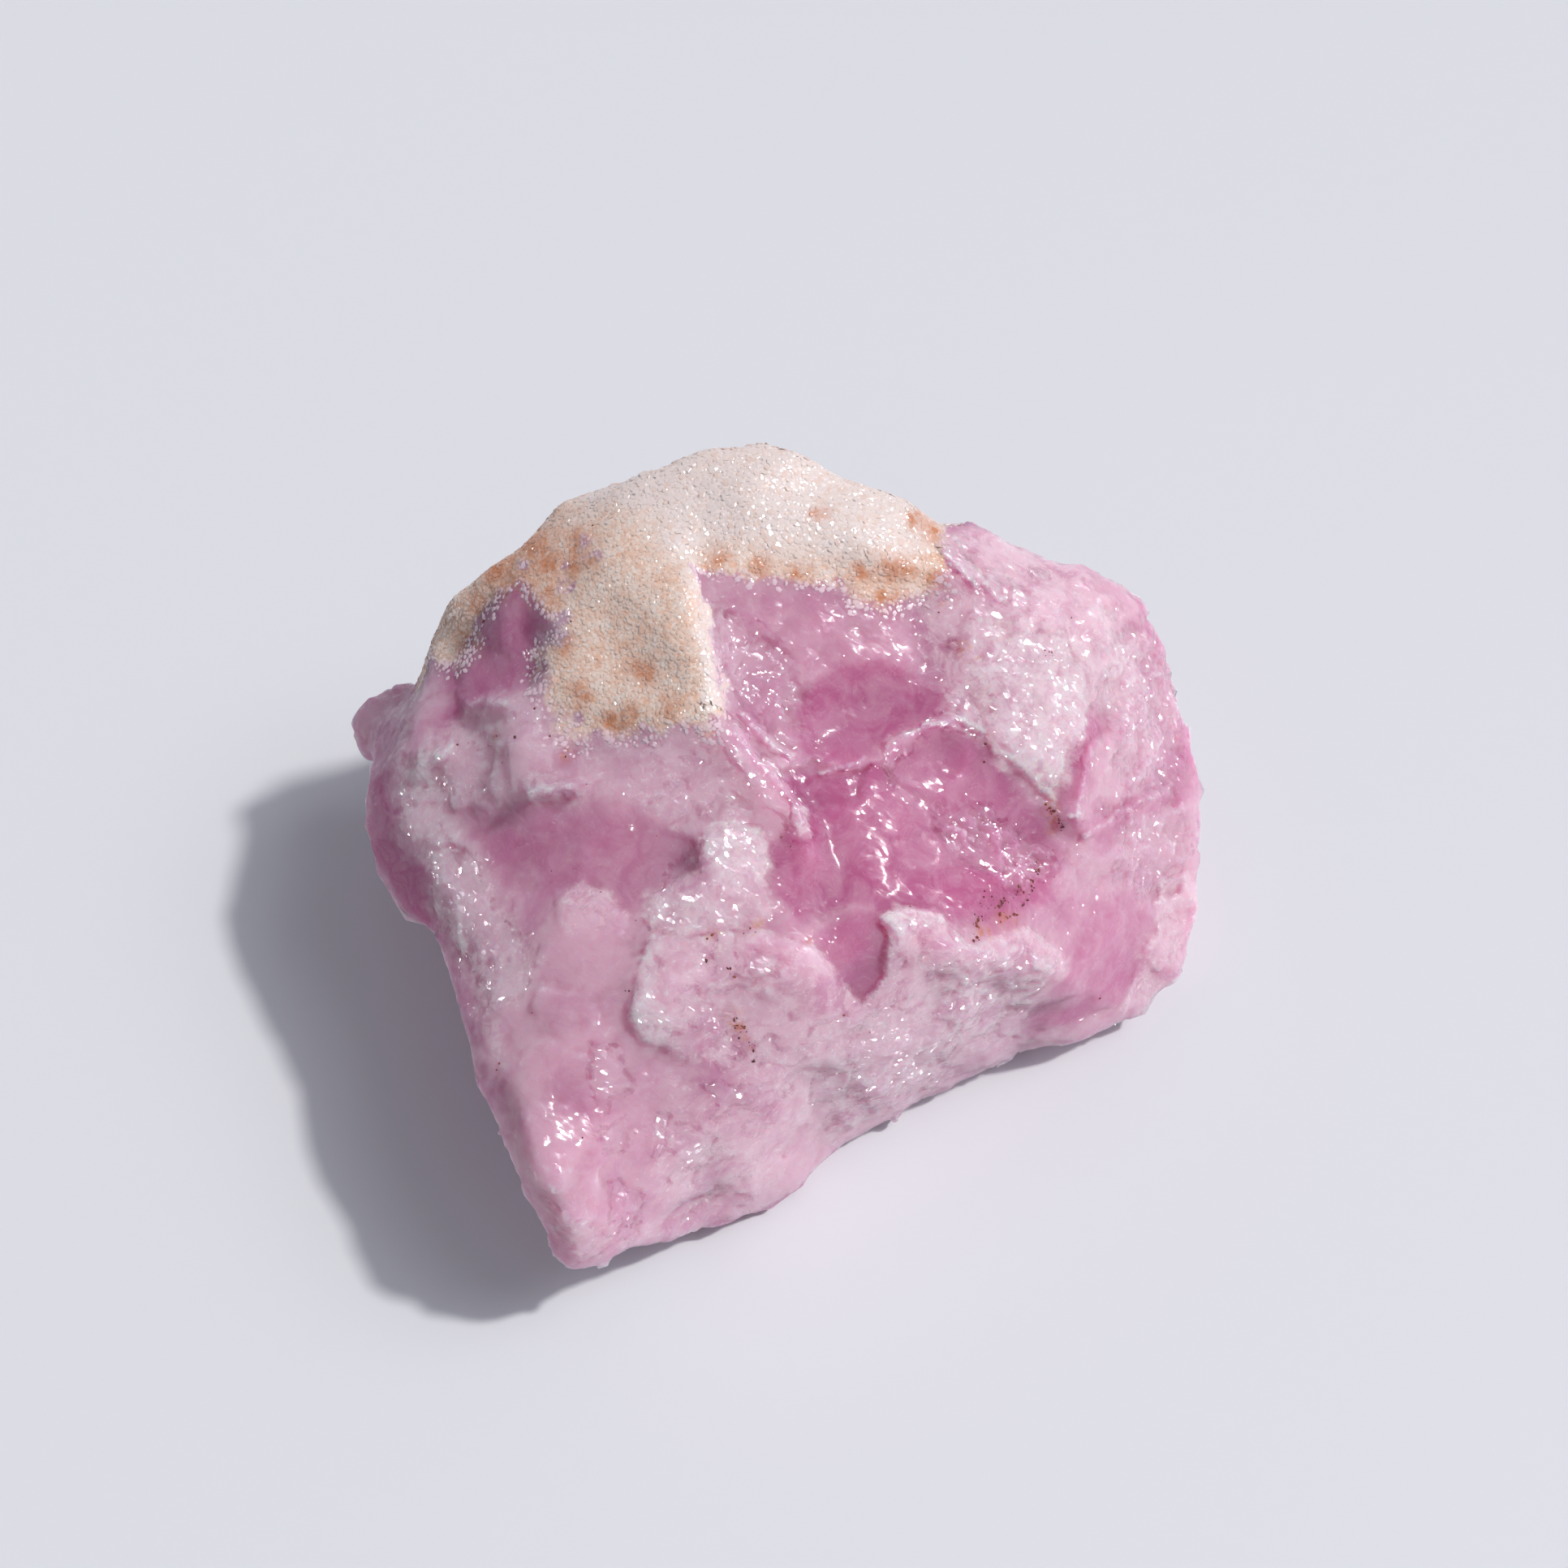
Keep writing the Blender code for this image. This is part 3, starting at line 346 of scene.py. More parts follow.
def as_seen(points):
    """Where the eye sees each point: across and up, in mm."""
    rays = points - np.array(EYE)
    share = EYE_DISTANCE / (rays @ np.array(FORWARD)) / MM
    return np.stack([rays @ np.array(ACROSS) * share, rays @ np.array(UPWARD) * share], axis=1)


def nearest(seen, line):
    """How far each seen point is from a line, in mm, in its own width at that place, and that width."""
    far = np.full(len(seen), 1e9)
    steps, width = far.copy(), far.copy()
    for start, end in zip(line[:-1], line[1:]):
        run = end[:2] - start[:2]
        reach = seen - start[:2]
        share = np.clip(reach @ run / (run @ run), 0.0, 1.0)
        gap = np.hypot(*(reach - share[:, None] * run).T)
        slope = start[2] + (end[2] - start[2]) * share
        closer = gap / slope < steps
        far[closer], steps[closer], width[closer] = gap[closer], (gap / slope)[closer], slope[closer]
    return far, steps, width


def inside(seen, ring):
    """Which seen points a closed ring holds."""
    held = np.zeros(len(seen), bool)
    for (x0, y0, _), (x1, y1, _) in zip(ring[:-1], ring[1:]):
        if y0 != y1:
            crossed = ((y0 > seen[:, 1]) != (y1 > seen[:, 1]))
            held ^= crossed & (seen[:, 0] < x0 + (seen[:, 1] - y0) * (x1 - x0) / (y1 - y0))
    return held


def within(seen, usual, outline):
    """One inside an outline, half on it and none outside, and how near its crisp stretches are."""
    ring = np.array([(*corner, usual)[:3] for corner in outline + outline[:1]])
    low, high = ring[:, :2].min(axis=0) - 3.0, ring[:, :2].max(axis=0) + 3.0
    near = ((seen > low) & (seen < high)).all(axis=1)
    share, rim = np.zeros(len(seen)), np.zeros(len(seen))
    far, steps, width = nearest(seen[near], ring)
    share[near] = smooth(0.5 + 0.5 * np.where(inside(seen[near], ring), steps, -steps))
    rim[near] = 0.8 * np.exp(-(far / 0.22) ** 2) * np.clip(1.6 - 4.0 * width, 0.0, 1.0)
    return share, rim


def painted(seen, zones):
    """How strongly a kind of surface covers each seen point."""
    return np.max([strength * within(seen, usual, outline)[0]
                   for strength, usual, outline in zones.values()], axis=0)


def spotted(seen, spots):
    """How deep in a soft round spot each seen point is."""
    return np.max([np.exp(-((seen - (x, y)) ** 2).sum(axis=1) / size ** 2) for x, y, size in spots], axis=0)


def dice(cells, salt):
    """Three fixed random numbers from 0 to 1 for each whole-numbered cell."""
    x, y, z = cells.astype(np.int64).T
    mixed = (x * 73856093 ^ y * 19349663 ^ z * 83492791 ^ salt * 40503) & 0x7FFFFFFF
    mixed = ((mixed ^ (mixed >> 15)) * 1103515245 + 12345) & 0x3FFFFFFFFFFF
    mixed = ((mixed ^ (mixed >> 17)) * 1103515245 + 12345) & 0x3FFFFFFFFFFF
    return np.stack([(mixed >> shift) & 0x3FF for shift in (13, 23, 33)], axis=1) / 1023.0


def waves(points, length, salt):
    """Three soft random waves from -1 to 1, of a length in mm."""
    place = points / (length * MM)
    cell = np.floor(place)
    share = smooth(place - cell)
    height = np.zeros((len(points), 3))
    for corner in np.ndindex(2, 2, 2):
        weight = np.prod(np.where(corner, share, 1.0 - share), axis=1)
        height += weight[:, None] * dice(cell + corner, salt)
    return height * 2.0 - 1.0


def mosaic(place, salt):
    """The two nearest centres of a random mosaic, in cells: how far each is, from where, and its cell."""
    cell = np.floor(place)
    far = [np.full(len(place), 9.0), np.full(len(place), 9.0)]
    reach = [np.zeros((len(place), 3)), np.zeros((len(place), 3))]
    home = [cell.copy(), cell.copy()]
    for step in np.ndindex(3, 3, 3):
        near = cell + np.array(step) - 1.0
        towards = place - near - dice(near, salt)
        gap = np.sqrt((towards ** 2).sum(axis=1))
        second = (gap < far[1]) & (gap >= far[0])
        far[1][second], reach[1][second], home[1][second] = gap[second], towards[second], near[second]
        first = gap < far[0]
        far[1][first], reach[1][first], home[1][first] = far[0][first], reach[0][first], home[0][first]
        far[0][first], reach[0][first], home[0][first] = gap[first], towards[first], near[first]
    return far, reach, home


def facets(place, salt, crispness):
    """Flat broken facets: each cell of the mosaic has its own tilt, and neighbours meet at half way."""
    far, reach, home = mosaic(place, salt)
    lifts = [((dice(home[i], salt + 9) * 2.0 - 1.0) * reach[i]).sum(axis=1) for i in (0, 1)]
    share = 0.5 + 0.5 * np.clip((far[1] - far[0]) * crispness, 0.0, 1.0)
    return share * lifts[0] + (1.0 - share) * lifts[1]


def add_piece(name, mesh):
    """Puts a mesh into the scene as a piece of its own, and makes it the active one."""
    piece = bpy.data.objects.new(name, mesh)
    bpy.context.scene.collection.objects.link(piece)
    bpy.ops.object.select_all(action="DESELECT")
    bpy.context.view_layer.objects.active = piece
    piece.select_set(True)
    return piece


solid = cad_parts["aragonite_stone"]
stone = add_piece("pink_stone", solid.data.copy())
bpy.ops.object.mode_set(mode="EDIT")
bpy.ops.mesh.select_all(action="SELECT")
bpy.ops.mesh.remove_doubles(threshold=0.001 * MM)
bpy.ops.object.mode_set(mode="OBJECT")
bpy.ops.object.modifier_add(type="REMESH")
stone.modifiers["Remesh"].mode = "VOXEL"
stone.modifiers["Remesh"].voxel_size = REMESH_SIZE * MM
bpy.ops.object.modifier_apply(modifier="Remesh")
bpy.ops.object.modifier_add(type="SMOOTH")
stone.modifiers["Smooth"].factor = 0.5
stone.modifiers["Smooth"].iterations = SMOOTHING_ROUNDS
bpy.ops.object.modifier_apply(modifier="Smooth")

points, normals = read(stone.data, "co"), read(stone.data, "normal")
rays = points - np.array(EYE)
rays /= np.linalg.norm(rays, axis=1)[:, None]
facing = smooth(-(normals * rays).sum(axis=1) / 0.15)
seen = as_seen(points) + 0.16 * waves(points, 0.9, 11)[:, :2] + 0.1 * waves(points, 0.35, 12)[:, :2]

cloudy = seen + 0.7 * waves(points, 2.2, 13)[:, :2] + 0.4 * waves(points, 0.9, 14)[:, :2]
cloudy += 0.2 * waves(points, 0.4, 15)[:, :2]
crust = facing * painted(cloudy, CRUST) * (1.0 - spotted(cloudy, GAPS))
rust = facing * spotted(cloudy, RUST)
snow = facing * painted(cloudy, SNOW_AND_PAINTED_LIGHT)
deep = facing * painted(cloudy, DEEP_AND_PAINTED_SHADE)
veil = facing * painted(seen + 0.7 * (cloudy - seen), VEIL_AND_PAINTED_LIGHT)
hackle = facing * painted(cloudy, HACKLE)
sparkle = facing * painted(cloudy, SPARKLE)
hidden = 1.0 - facing
patches = waves(points, 9.0, 21)

# The crust laps over the crest on to the back, with a ragged edge.
front = np.nonzero((facing > 0.9) & (crust > 0.6))[0][::5]
tree = KDTree(len(front))
for number, spot in enumerate(points[front]):
    tree.insert(spot, number)
tree.balance()
behind = np.nonzero((facing < 0.95) & (points[:, 2] > CRUST_FOOT * MM))[0]
found = [tree.find(spot) for spot in points[behind]]
gap = np.array([far for _, _, far in found]) / MM
ragged = waves(points[behind], 4.0, 22)[:, 0] + 0.5 * waves(points[behind], 1.2, 23)[:, 0]
lap = smooth(0.5 + (CRUST_LAP * (1.0 + 0.9 * ragged) - gap) / 0.8)
source = front[np.array([number for _, number, _ in found])]
crust[behind] = np.maximum(crust[behind], lap)
snow[behind] = np.maximum(snow[behind], lap * snow[source])
rust[behind] = np.maximum(rust[behind], lap * smooth(0.3 + 1.5 * waves(points[behind], 2.5, 24)[:, 0]) * 0.6)

veil += hidden * smooth(0.5 + 1.6 * patches[:, 0]) * 0.8
deep += hidden * smooth(0.2 + 1.6 * patches[:, 1]) * 0.7
hackle += hidden * smooth(0.5 + 1.4 * patches[:, 2]) * 0.7

# The crisp forms and the ribs, and the pale rims that their edges have, which the material paints white:
# partly bruised frost, partly painted highlight along the edges.
rise, rim = np.zeros(len(points)), np.zeros(len(points))
for height, usual, outline in SHARP_FORMS.values():
    share, near_rim = within(seen, usual, outline)
    rise += height * share
    rim = np.maximum(rim, near_rim)
for height, half_width, line in RIBS:
    far = nearest(seen, np.array([(a, u, 1.0) for a, u in line]))[0]
    rise += height * smooth(1.0 - far / (2.0 * half_width))
    rim = np.maximum(rim, 0.3 * smooth(1.0 - far / half_width))

across, up = seen.T
lines, weights = np.zeros(len(points)), np.full(len(points), 1e-6)
warp = waves(points, 2.5, 35)
for number, (x, y, reach, middle) in enumerate(STRIKES):
    span = np.hypot(across - x, up - y)
    angle = np.arctan2(up - y, across - x)
    weight = np.exp(-(span / reach) ** 2)
    layer = np.full(len(span), number * 7.5)
    place = np.stack([span / FACET_LENGTH, angle * middle / FACET_WIDTH, layer], axis=1)
    lines += weight * facets(place + 0.35 * warp, 31 + number, 4.0)
    weights += weight
radial = lines / weights

# Broken facets of four sizes lift the surface, the small ones most where the break is rough. The crust stays
# smooth, because its grains come on top of it.
hackle = np.maximum(hackle, 0.3 - 0.25 * deep)
sparkle = np.maximum(sparkle, hackle)
scattered = smooth((waves(points, 1.5, 25)[:, 0] - 0.05) / 0.35)
scattered = scattered * (0.28 + 0.4 * np.clip(veil, 0.0, 1.0)) * (1.0 - deep)
sparkle = np.maximum(sparkle, scattered * (1.0 - crust))
bent = points + 0.7 * MM * waves(points, 2.0, 36) + 0.25 * MM * waves(points, 0.7, 37)
broad = facets(bent / (BROAD_FACET * MM), 41, 8.0)
small = facets(bent / (SMALL_FACET * MM), 42, 8.0)
tiny = facets(bent / (TINY_FACET * MM), 43, 6.0)
rough = facets(bent / (ROUGH_FACET * MM), 44, 8.0)
calm = 1.0 - 0.6 * deep * (1.0 - hackle)
lift = broad * (0.16 + 0.12 * hackle) * calm
lift += (small * (0.035 * calm + 0.14 * hackle + 0.05 * hidden)
         + tiny * (0.015 + 0.07 * hackle + 0.03 * hidden))
lift += radial * 0.22 * hackle * facing + rough * 0.45 * hidden
lift = lift * (1.0 - 0.85 * crust) - 0.08
foot = smooth(points[:, 2] / (1.2 * MM))
points += normals * (lift * foot)[:, None] * MM - rays * (rise * facing)[:, None] * MM
low, high = (np.array(corner) for corner in cad_box)
points = np.clip(points, low, high)
move(stone.data, points)

# Points that stand out too far, and folds, are drawn in towards a softer copy of the surface. The way that a
# still softer copy faces is kept, because light that goes into the stone doesn't follow its fine relief.
pairs = np.empty(len(stone.data.edges) * 2, np.int64)
stone.data.edges.foreach_get("vertices", pairs)
ends = np.concatenate([pairs[0::2], pairs[1::2]])
others = np.concatenate([pairs[1::2], pairs[0::2]])
joined = np.bincount(ends, minlength=len(points))


def softened(soft, rounds):
    """Moves each point to the middle of those it is joined to, again and again."""
    for _ in range(rounds):
        sums = [np.bincount(ends, soft[others, axis], len(soft)) for axis in range(3)]
        soft = np.stack([total / joined for total in sums], axis=1)
    return soft


soft = softened(points, SPUR_ROUNDS)
gap = points - soft
raised = read(stone.data, "normal")
move(stone.data, soft)
upright = (raised * read(stone.data, "normal")).sum(axis=1)
for _ in range(3):
    upright = np.minimum(upright, np.bincount(ends, upright[others], len(points)) / joined)
tallest = TALLEST_SPUR * MM * smooth((upright + 0.1) / 0.6)
far = np.linalg.norm(gap, axis=1)
points = soft + gap * np.minimum(1.0, tallest / np.maximum(far, 1e-9))[:, None]
proud = (gap * raised).sum(axis=1) / MM
move(stone.data, softened(soft, SOFT_ROUNDS))
soft_normals = read(stone.data, "normal")
move(stone.data, points)

for name, values in [("crust", crust), ("snow", snow), ("rust", rust), ("deep", deep), ("veil", veil),
                     ("sparkle", sparkle), ("rim", rim * facing), ("proud", proud),
                     ("soft_normal", soft_normals)]:
    store(stone.data, name, values)

# The hidden sides are thinned more than the show face.
group = stone.vertex_groups.new(name="hidden")
coarse = np.round(np.clip(hidden * (1.0 - hackle * 0.3), 0.0, 1.0) * 3.0)
coarse[(points[:, 2] < 1.5 * MM) & (normals[:, 2] > -0.95)] = 0.0
for step in range(4):
    share = 0.25 + 0.25 * step
    chosen = np.nonzero(coarse == step)[0]
    group.add(chosen.tolist(), share, "REPLACE")
bpy.ops.object.modifier_add(type="DECIMATE")
thin = stone.modifiers["Decimate"]
thin.ratio = TRIANGLES / (2.0 * len(stone.data.polygons))
thin.use_collapse_triangulate = True
thin.vertex_group = "hidden"
thin.vertex_group_factor = 1.0
bpy.ops.object.modifier_apply(modifier="Decimate")
stone.vertex_groups.clear()
move(stone.data, np.clip(read(stone.data, "co"), low, high))
bpy.ops.object.shade_smooth_by_angle(angle=CRISP_ANGLE)

# Its material: cloudy and translucent. Deep pink shows where the break is clean, white veils show where it is
# bruised, and a tan skin shows at the top. Raised points and rims are painted white, partly as bruised frost
# and partly as painted highlight, and sunken points are painted a deeper pink as painted shade. Small facets
# glint in the broken parts.
COLOURS = {
    "deep": (0.51, 0.122, 0.272),
    "pink": (0.605, 0.250, 0.395),
    "pale": (0.73, 0.43, 0.54),
    "veil": (0.85, 0.605, 0.685),
    "white": (0.92, 0.82, 0.83),
    "peach": (0.9, 0.56, 0.41),
    "cream": (0.95, 0.79, 0.70),
    "sugar": (0.9, 0.77, 0.735),
    "orange": (0.66, 0.23, 0.095),
}
UPLIT = (0.0, 0.0, 0.6)
LIGHT_DEPTH = 4.0


class Nodes:
    """The nodes of a material or of the sky, added one after the other and joined as they come."""

    def __init__(self, owner):
        owner.use_nodes = True
        self.owner, self.tree = owner, owner.node_tree
        self.shader = self.tree.nodes.get("Principled BSDF")

    def add(self, kind, out=0, settings=None, **inputs):
        node = self.tree.nodes.new("ShaderNode" + kind)
        for key, value in (settings or {}).items():
            setattr(node, key, value)
        for key, value in inputs.items():
            self.plug(node.inputs[int(key[1:]) if key[0] == "_" else key.replace("_", " ")], value)
        return node.outputs[out]

    def plug(self, socket, value):
        if isinstance(value, bpy.types.NodeSocket):
            self.tree.links.new(value, socket)
        else:
            socket.default_value = value

    def read(self, name):
        return self.add("Attribute", out="Fac", settings={"attribute_name": name})

    def maths(self, operation, first, second=0.0, clamp=False):
        return self.add("Math", settings={"operation": operation, "use_clamp": clamp}, _0=first, _1=second)

    def times(self, first, second):
        return self.maths("MULTIPLY", first, second, True)

    def stretch(self, value, low, high, to_low=0.0, to_high=1.0):
        return self.add("MapRange", settings={"interpolation_type": "SMOOTHSTEP"}, Value=value,
                        From_Min=low, From_Max=high, To_Min=to_low, To_Max=to_high)

    def mix(self, share, first, second):
        """Blends two colours, each of them a name in COLOURS or a socket."""
        first, second = (value if isinstance(value, bpy.types.NodeSocket) else (*COLOURS[value], 1.0)
                         for value in (first, second))
        return self.add("Mix", out=2, settings={"data_type": "RGBA"}, _0=share, _6=first, _7=second)

    def vectors(self, operation, first, second=(0.0, 0.0, 0.0), out=0):
        return self.add("VectorMath", out=out, settings={"operation": operation}, _0=first, _1=second)

    def turn(self, share, first, second):
        return self.add("Mix", out=1, settings={"data_type": "VECTOR"}, _0=share, _4=first, _5=second)

    def noise(self, place, size, detail=3.0, roughness=0.55, distortion=0.0):
        return self.add("TexNoise", Vector=place, Scale=1.0 / (size * MM), Detail=detail,
                        Roughness=roughness, Distortion=distortion)

    def soft_normal(self, share):
        """The way that the softened surface faces, turned by a share to the true one and a little upwards."""
        soft = self.add("Attribute", out="Vector", settings={"attribute_name": "soft_normal"})
        soft = self.add("VectorTransform", settings={"vector_type": "NORMAL", "convert_from": "OBJECT",
                                                     "convert_to": "WORLD"}, Vector=soft)
        true = self.add("NewGeometry", out="Normal")
        soft = self.vectors("ADD", self.turn(share, soft, true), UPLIT)
        return self.vectors("NORMALIZE", soft), true

    def cut_facets(self, place, size):
        """Height of small flat facets: each cell of a mosaic leans its own way."""
        cell = self.add("TexVoronoi", Vector=place, Scale=1.0 / (size * MM)).node
        scaled = self.add("VectorMath", settings={"operation": "SCALE"}, _0=place, Scale=1.0 / (size * MM))
        reach = self.vectors("SUBTRACT", scaled, cell.outputs["Position"])
        lean = self.vectors("SUBTRACT", cell.outputs["Color"], (0.5, 0.5, 0.5))
        return self.vectors("DOT_PRODUCT", reach, lean, "Value")


mineral = Nodes(bpy.data.materials.new("pink_mineral"))
place = mineral.add("TexCoord", out="Object")
crust, snow, rust, deep = (mineral.read(name) for name in ("crust", "snow", "rust", "deep"))
veil, sparkle, rim, proud = (mineral.read(name) for name in ("veil", "sparkle", "rim", "proud"))

cloud = mineral.noise(place, 6.0, 4.0, 0.6, 0.4)
wisp = mineral.noise(place, 2.0, 5.0, 0.62, 0.8)
lace = mineral.noise(place, 0.95, 5.0, 0.65, 1.2)
fleck = mineral.noise(place, 0.5, 4.0, 0.7, 0.5)
strands = mineral.maths("ABSOLUTE", mineral.maths("SUBTRACT", mineral.noise(place, 1.5, 3.0, 0.6, 1.4), 0.5))
strands = mineral.times(mineral.stretch(strands, 0.0, 0.035, 1.0, 0.0), mineral.stretch(fleck, 0.42, 0.62))

base = mineral.mix(mineral.stretch(cloud, 0.30, 0.62), "pink", "pale")
base = mineral.mix(mineral.times(deep, mineral.stretch(wisp, 0.35, 0.66, 1.0, 0.6)), base, "deep")
frost = mineral.times(mineral.maths("ADD", veil, 0.08), mineral.stretch(wisp, 0.38, 0.60, 0.25, 1.0))
frost = mineral.times(frost, mineral.stretch(lace, 0.40, 0.58, 0.8, 1.0))
base = mineral.mix(mineral.times(frost, 0.85), base, "veil")
base = mineral.mix(mineral.times(strands, mineral.stretch(frost, 0.0, 0.5, 0.1, 0.5)), base, "white")
base = mineral.mix(mineral.times(snow, mineral.stretch(lace, 0.38, 0.58, 0.3, 0.9)), base, "white")
# Raised points and the edge rims are painted white: partly bruised frost, partly painted highlight along the
# edges.
frost_and_edge_highlight = mineral.maths("MAXIMUM", mineral.stretch(proud, 0.04, 0.2), rim)
frost_and_edge_highlight = mineral.times(frost_and_edge_highlight, mineral.stretch(deep, 0.2, 1.0, 1.0, 0.3))
base = mineral.mix(mineral.times(frost_and_edge_highlight, mineral.stretch(fleck, 0.40, 0.62, 0.0, 0.6)), base, "white")
# Sunken points are painted a deeper pink: painted shade in the creases and hollows.
base = mineral.mix(mineral.stretch(proud, -0.03, -0.18, 0.0, 0.2), base, "deep")
base = mineral.mix(mineral.times(rust, mineral.stretch(fleck, 0.40, 0.62, 0.0, 0.7)), base, "orange")

skin = mineral.mix(mineral.stretch(fleck, 0.35, 0.65), "peach", "cream")
skin = mineral.mix(mineral.times(snow, mineral.stretch(wisp, 0.3, 0.6, 0.7, 1.0)), skin, "sugar")
skin = mineral.mix(mineral.times(rust, mineral.stretch(lace, 0.35, 0.6, 0.4, 0.95)), skin, "orange")
edge = mineral.maths("ADD", crust, mineral.maths("MULTIPLY", mineral.maths("SUBTRACT", lace, 0.5), 1.2))
base = mineral.mix(mineral.stretch(edge, 0.2, 0.8), base, skin)

# Long axis of the glassy facets: down to the right on the show face.
GRAIN_LINE = Vector((0.87, -0.41, -0.28))
# The steps of the break all lie along one cleavage plane, square to this, and so they glint together.
CLEAVAGE = (0.34, -0.28, 0.90)
CUT_SIZES = (0.6, 0.28)
along = mineral.add("VectorRotate", settings={"rotation_type": "EULER_XYZ"}, Vector=place,
                    Rotation=GRAIN_LINE.rotation_difference(Vector((1.0, 0.0, 0.0))).to_euler())
along = mineral.vectors("MULTIPLY", along, (0.4, 1.0, 1.0))
big_cut, fine_cut = (mineral.cut_facets(along, size) for size in CUT_SIZES)
glassy = mineral.maths("ADD", mineral.maths("MULTIPLY", big_cut, 0.60),
                       mineral.maths("MULTIPLY", fine_cut, 0.26))
glassy = mineral.maths("MULTIPLY", glassy, mineral.stretch(sparkle, 0.0, 0.9, 0.12, 1.0))
powdery = mineral.maths("MAXIMUM", crust, frost)
chalky = mineral.maths("MULTIPLY", fleck, mineral.stretch(powdery, 0.0, 1.0, 0.01, 0.045))
body = mineral.maths("ADD", chalky, mineral.maths("MULTIPLY", glassy, 0.07))
soft, true = mineral.soft_normal(mineral.stretch(sparkle, 0.45, 1.1, 0.12, 0.5))
bump = mineral.add("Bump", Height=body, Distance=1.0 * MM, Strength=1.0, Normal=soft)
tilt = mineral.vectors("NORMALIZE", mineral.turn(mineral.maths("MULTIPLY", sparkle, 0.5), true, CLEAVAGE))
glints = mineral.add("Bump", Height=glassy, Distance=1.0 * MM, Strength=1.0, Normal=tilt)

matt = mineral.maths("MULTIPLY", mineral.maths("MAXIMUM", frost, crust), 0.15)
roughness = mineral.maths("ADD", matt, mineral.stretch(wisp, 0.3, 0.7, 0.4, 0.5))
shader = mineral.shader
mineral.plug(shader.inputs["Base Color"], base)
mineral.plug(shader.inputs["Roughness"], roughness)
mineral.plug(shader.inputs["Normal"], bump)
mineral.plug(shader.inputs["Coat Normal"], glints)
gloss = mineral.times(mineral.stretch(sparkle, 0.0, 0.8, 0.2, 1.0),
                      mineral.stretch(crust, 0.2, 0.8, 1.0, 0.25))
mineral.plug(shader.inputs["Coat Weight"], gloss)
shader.inputs["Coat Roughness"].default_value = 0.17
shader.inputs["Coat IOR"].default_value = 1.9
shader.inputs["IOR"].default_value = 1.5
shader.inputs["Specular IOR Level"].default_value = 0.1
mineral.plug(shader.inputs["Subsurface Weight"], mineral.stretch(edge, 0.35, 0.85, 1.0, 0.0))
shader.inputs["Subsurface Radius"].default_value = (1.0, 0.42, 0.6)
shader.inputs["Subsurface Scale"].default_value = LIGHT_DEPTH * MM
stone.data.materials.clear()
stone.data.materials.append(mineral.owner)
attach(stone, "root")
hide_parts("aragonite_stone")

# The sugary skin: tiny crystals grown side by side over the top of the stone, tan with iron below and white
# at the crest. One grain is modelled and set down many times, each turned its own way, pressed flatter and
# sunk a little into the stone.
GRAIN_SPACING = 0.22
GRAIN_RADIUS = (0.10, 0.27)
GRAIN_TRIES = 26000
SUNK = 0.12
FLATNESS = 0.55


def ball():
    """The points and the twenty flat faces of a ball of radius 1."""
    bpy.ops.object.select_all(action="DESELECT")
    bpy.ops.mesh.primitive_ico_sphere_add(subdivisions=1, radius=1.0)
    model = bpy.context.active_object
    ball_points = read(model.data, "co")
    ball_faces = np.array([face.vertices[:] for face in model.data.polygons])
    bpy.data.objects.remove(model)
    return ball_points, ball_faces


grain_points, grain_faces = ball()
rng = np.random.default_rng(5)
corners = np.array([face.vertices[:] for face in stone.data.polygons])
points, normals = read(stone.data, "co"), read(stone.data, "normal")
share, white, red = np.empty(len(points)), np.empty(len(points)), np.empty(len(points))
for name, values in [("crust", share), ("snow", white), ("rust", red)]:
    stone.data.attributes[name].data.foreach_get("value", values)
a, b, c = points[corners[:, 0]], points[corners[:, 1]], points[corners[:, 2]]
area = np.linalg.norm(np.cross(b - a, c - a), axis=1) * share[corners].mean(axis=1)
picked = rng.choice(len(corners), GRAIN_TRIES, p=area / area.sum())
weights = rng.dirichlet((1.0, 1.0, 1.0), GRAIN_TRIES)[:, :, None]
spots = (points[corners[picked]] * weights).sum(axis=1)
leans = (normals[corners[picked]] * weights).sum(axis=1)
cover, snowy, rusty = ((values[corners[picked]] * weights[:, :, 0]).sum(axis=1)
                       for values in (share, white, red))

taken, kept = {}, []
for number, spot in enumerate(spots):
    cell = tuple(np.floor(spot / (GRAIN_SPACING * MM)).astype(int))
    near = [taken.get((cell[0] + i - 1, cell[1] + j - 1, cell[2] + k - 1), [])
            for i, j, k in np.ndindex(3, 3, 3)]
    if all(np.linalg.norm(spots[other] - spot) > GRAIN_SPACING * MM for group in near for other in group):
        taken.setdefault(cell, []).append(number)
        kept.append(number)
spots, leans, cover, snowy, rusty = (values[kept] for values in (spots, leans, cover, snowy, rusty))

count = len(kept)
turns = rng.normal(size=(count, 4))
turns /= np.linalg.norm(turns, axis=1)[:, None]
w, x, y, z = turns.T
spin = np.stack([1 - 2 * (y * y + z * z), 2 * (x * y - w * z), 2 * (x * z + w * y),
                 2 * (x * y + w * z), 1 - 2 * (x * x + z * z), 2 * (y * z - w * x),
                 2 * (x * z - w * y), 2 * (y * z + w * x), 1 - 2 * (x * x + y * y)], axis=1).reshape(-1, 3, 3)
radii = rng.uniform(*GRAIN_RADIUS, count) * (1.0 + 0.25 * snowy) * MM
shapes = grain_points * rng.uniform(0.6, 1.35, (count, 1, 3))
shapes = np.einsum("nij,nkj->nki", spin, shapes) * radii[:, None, None]
shapes -= FLATNESS * np.einsum("nki,ni->nk", shapes, leans)[:, :, None] * leans[:, None, :]
grains = shapes + (spots - leans * (SUNK * radii)[:, None])[:, None, :]
grains = np.clip(grains.reshape(-1, 3), low, high)
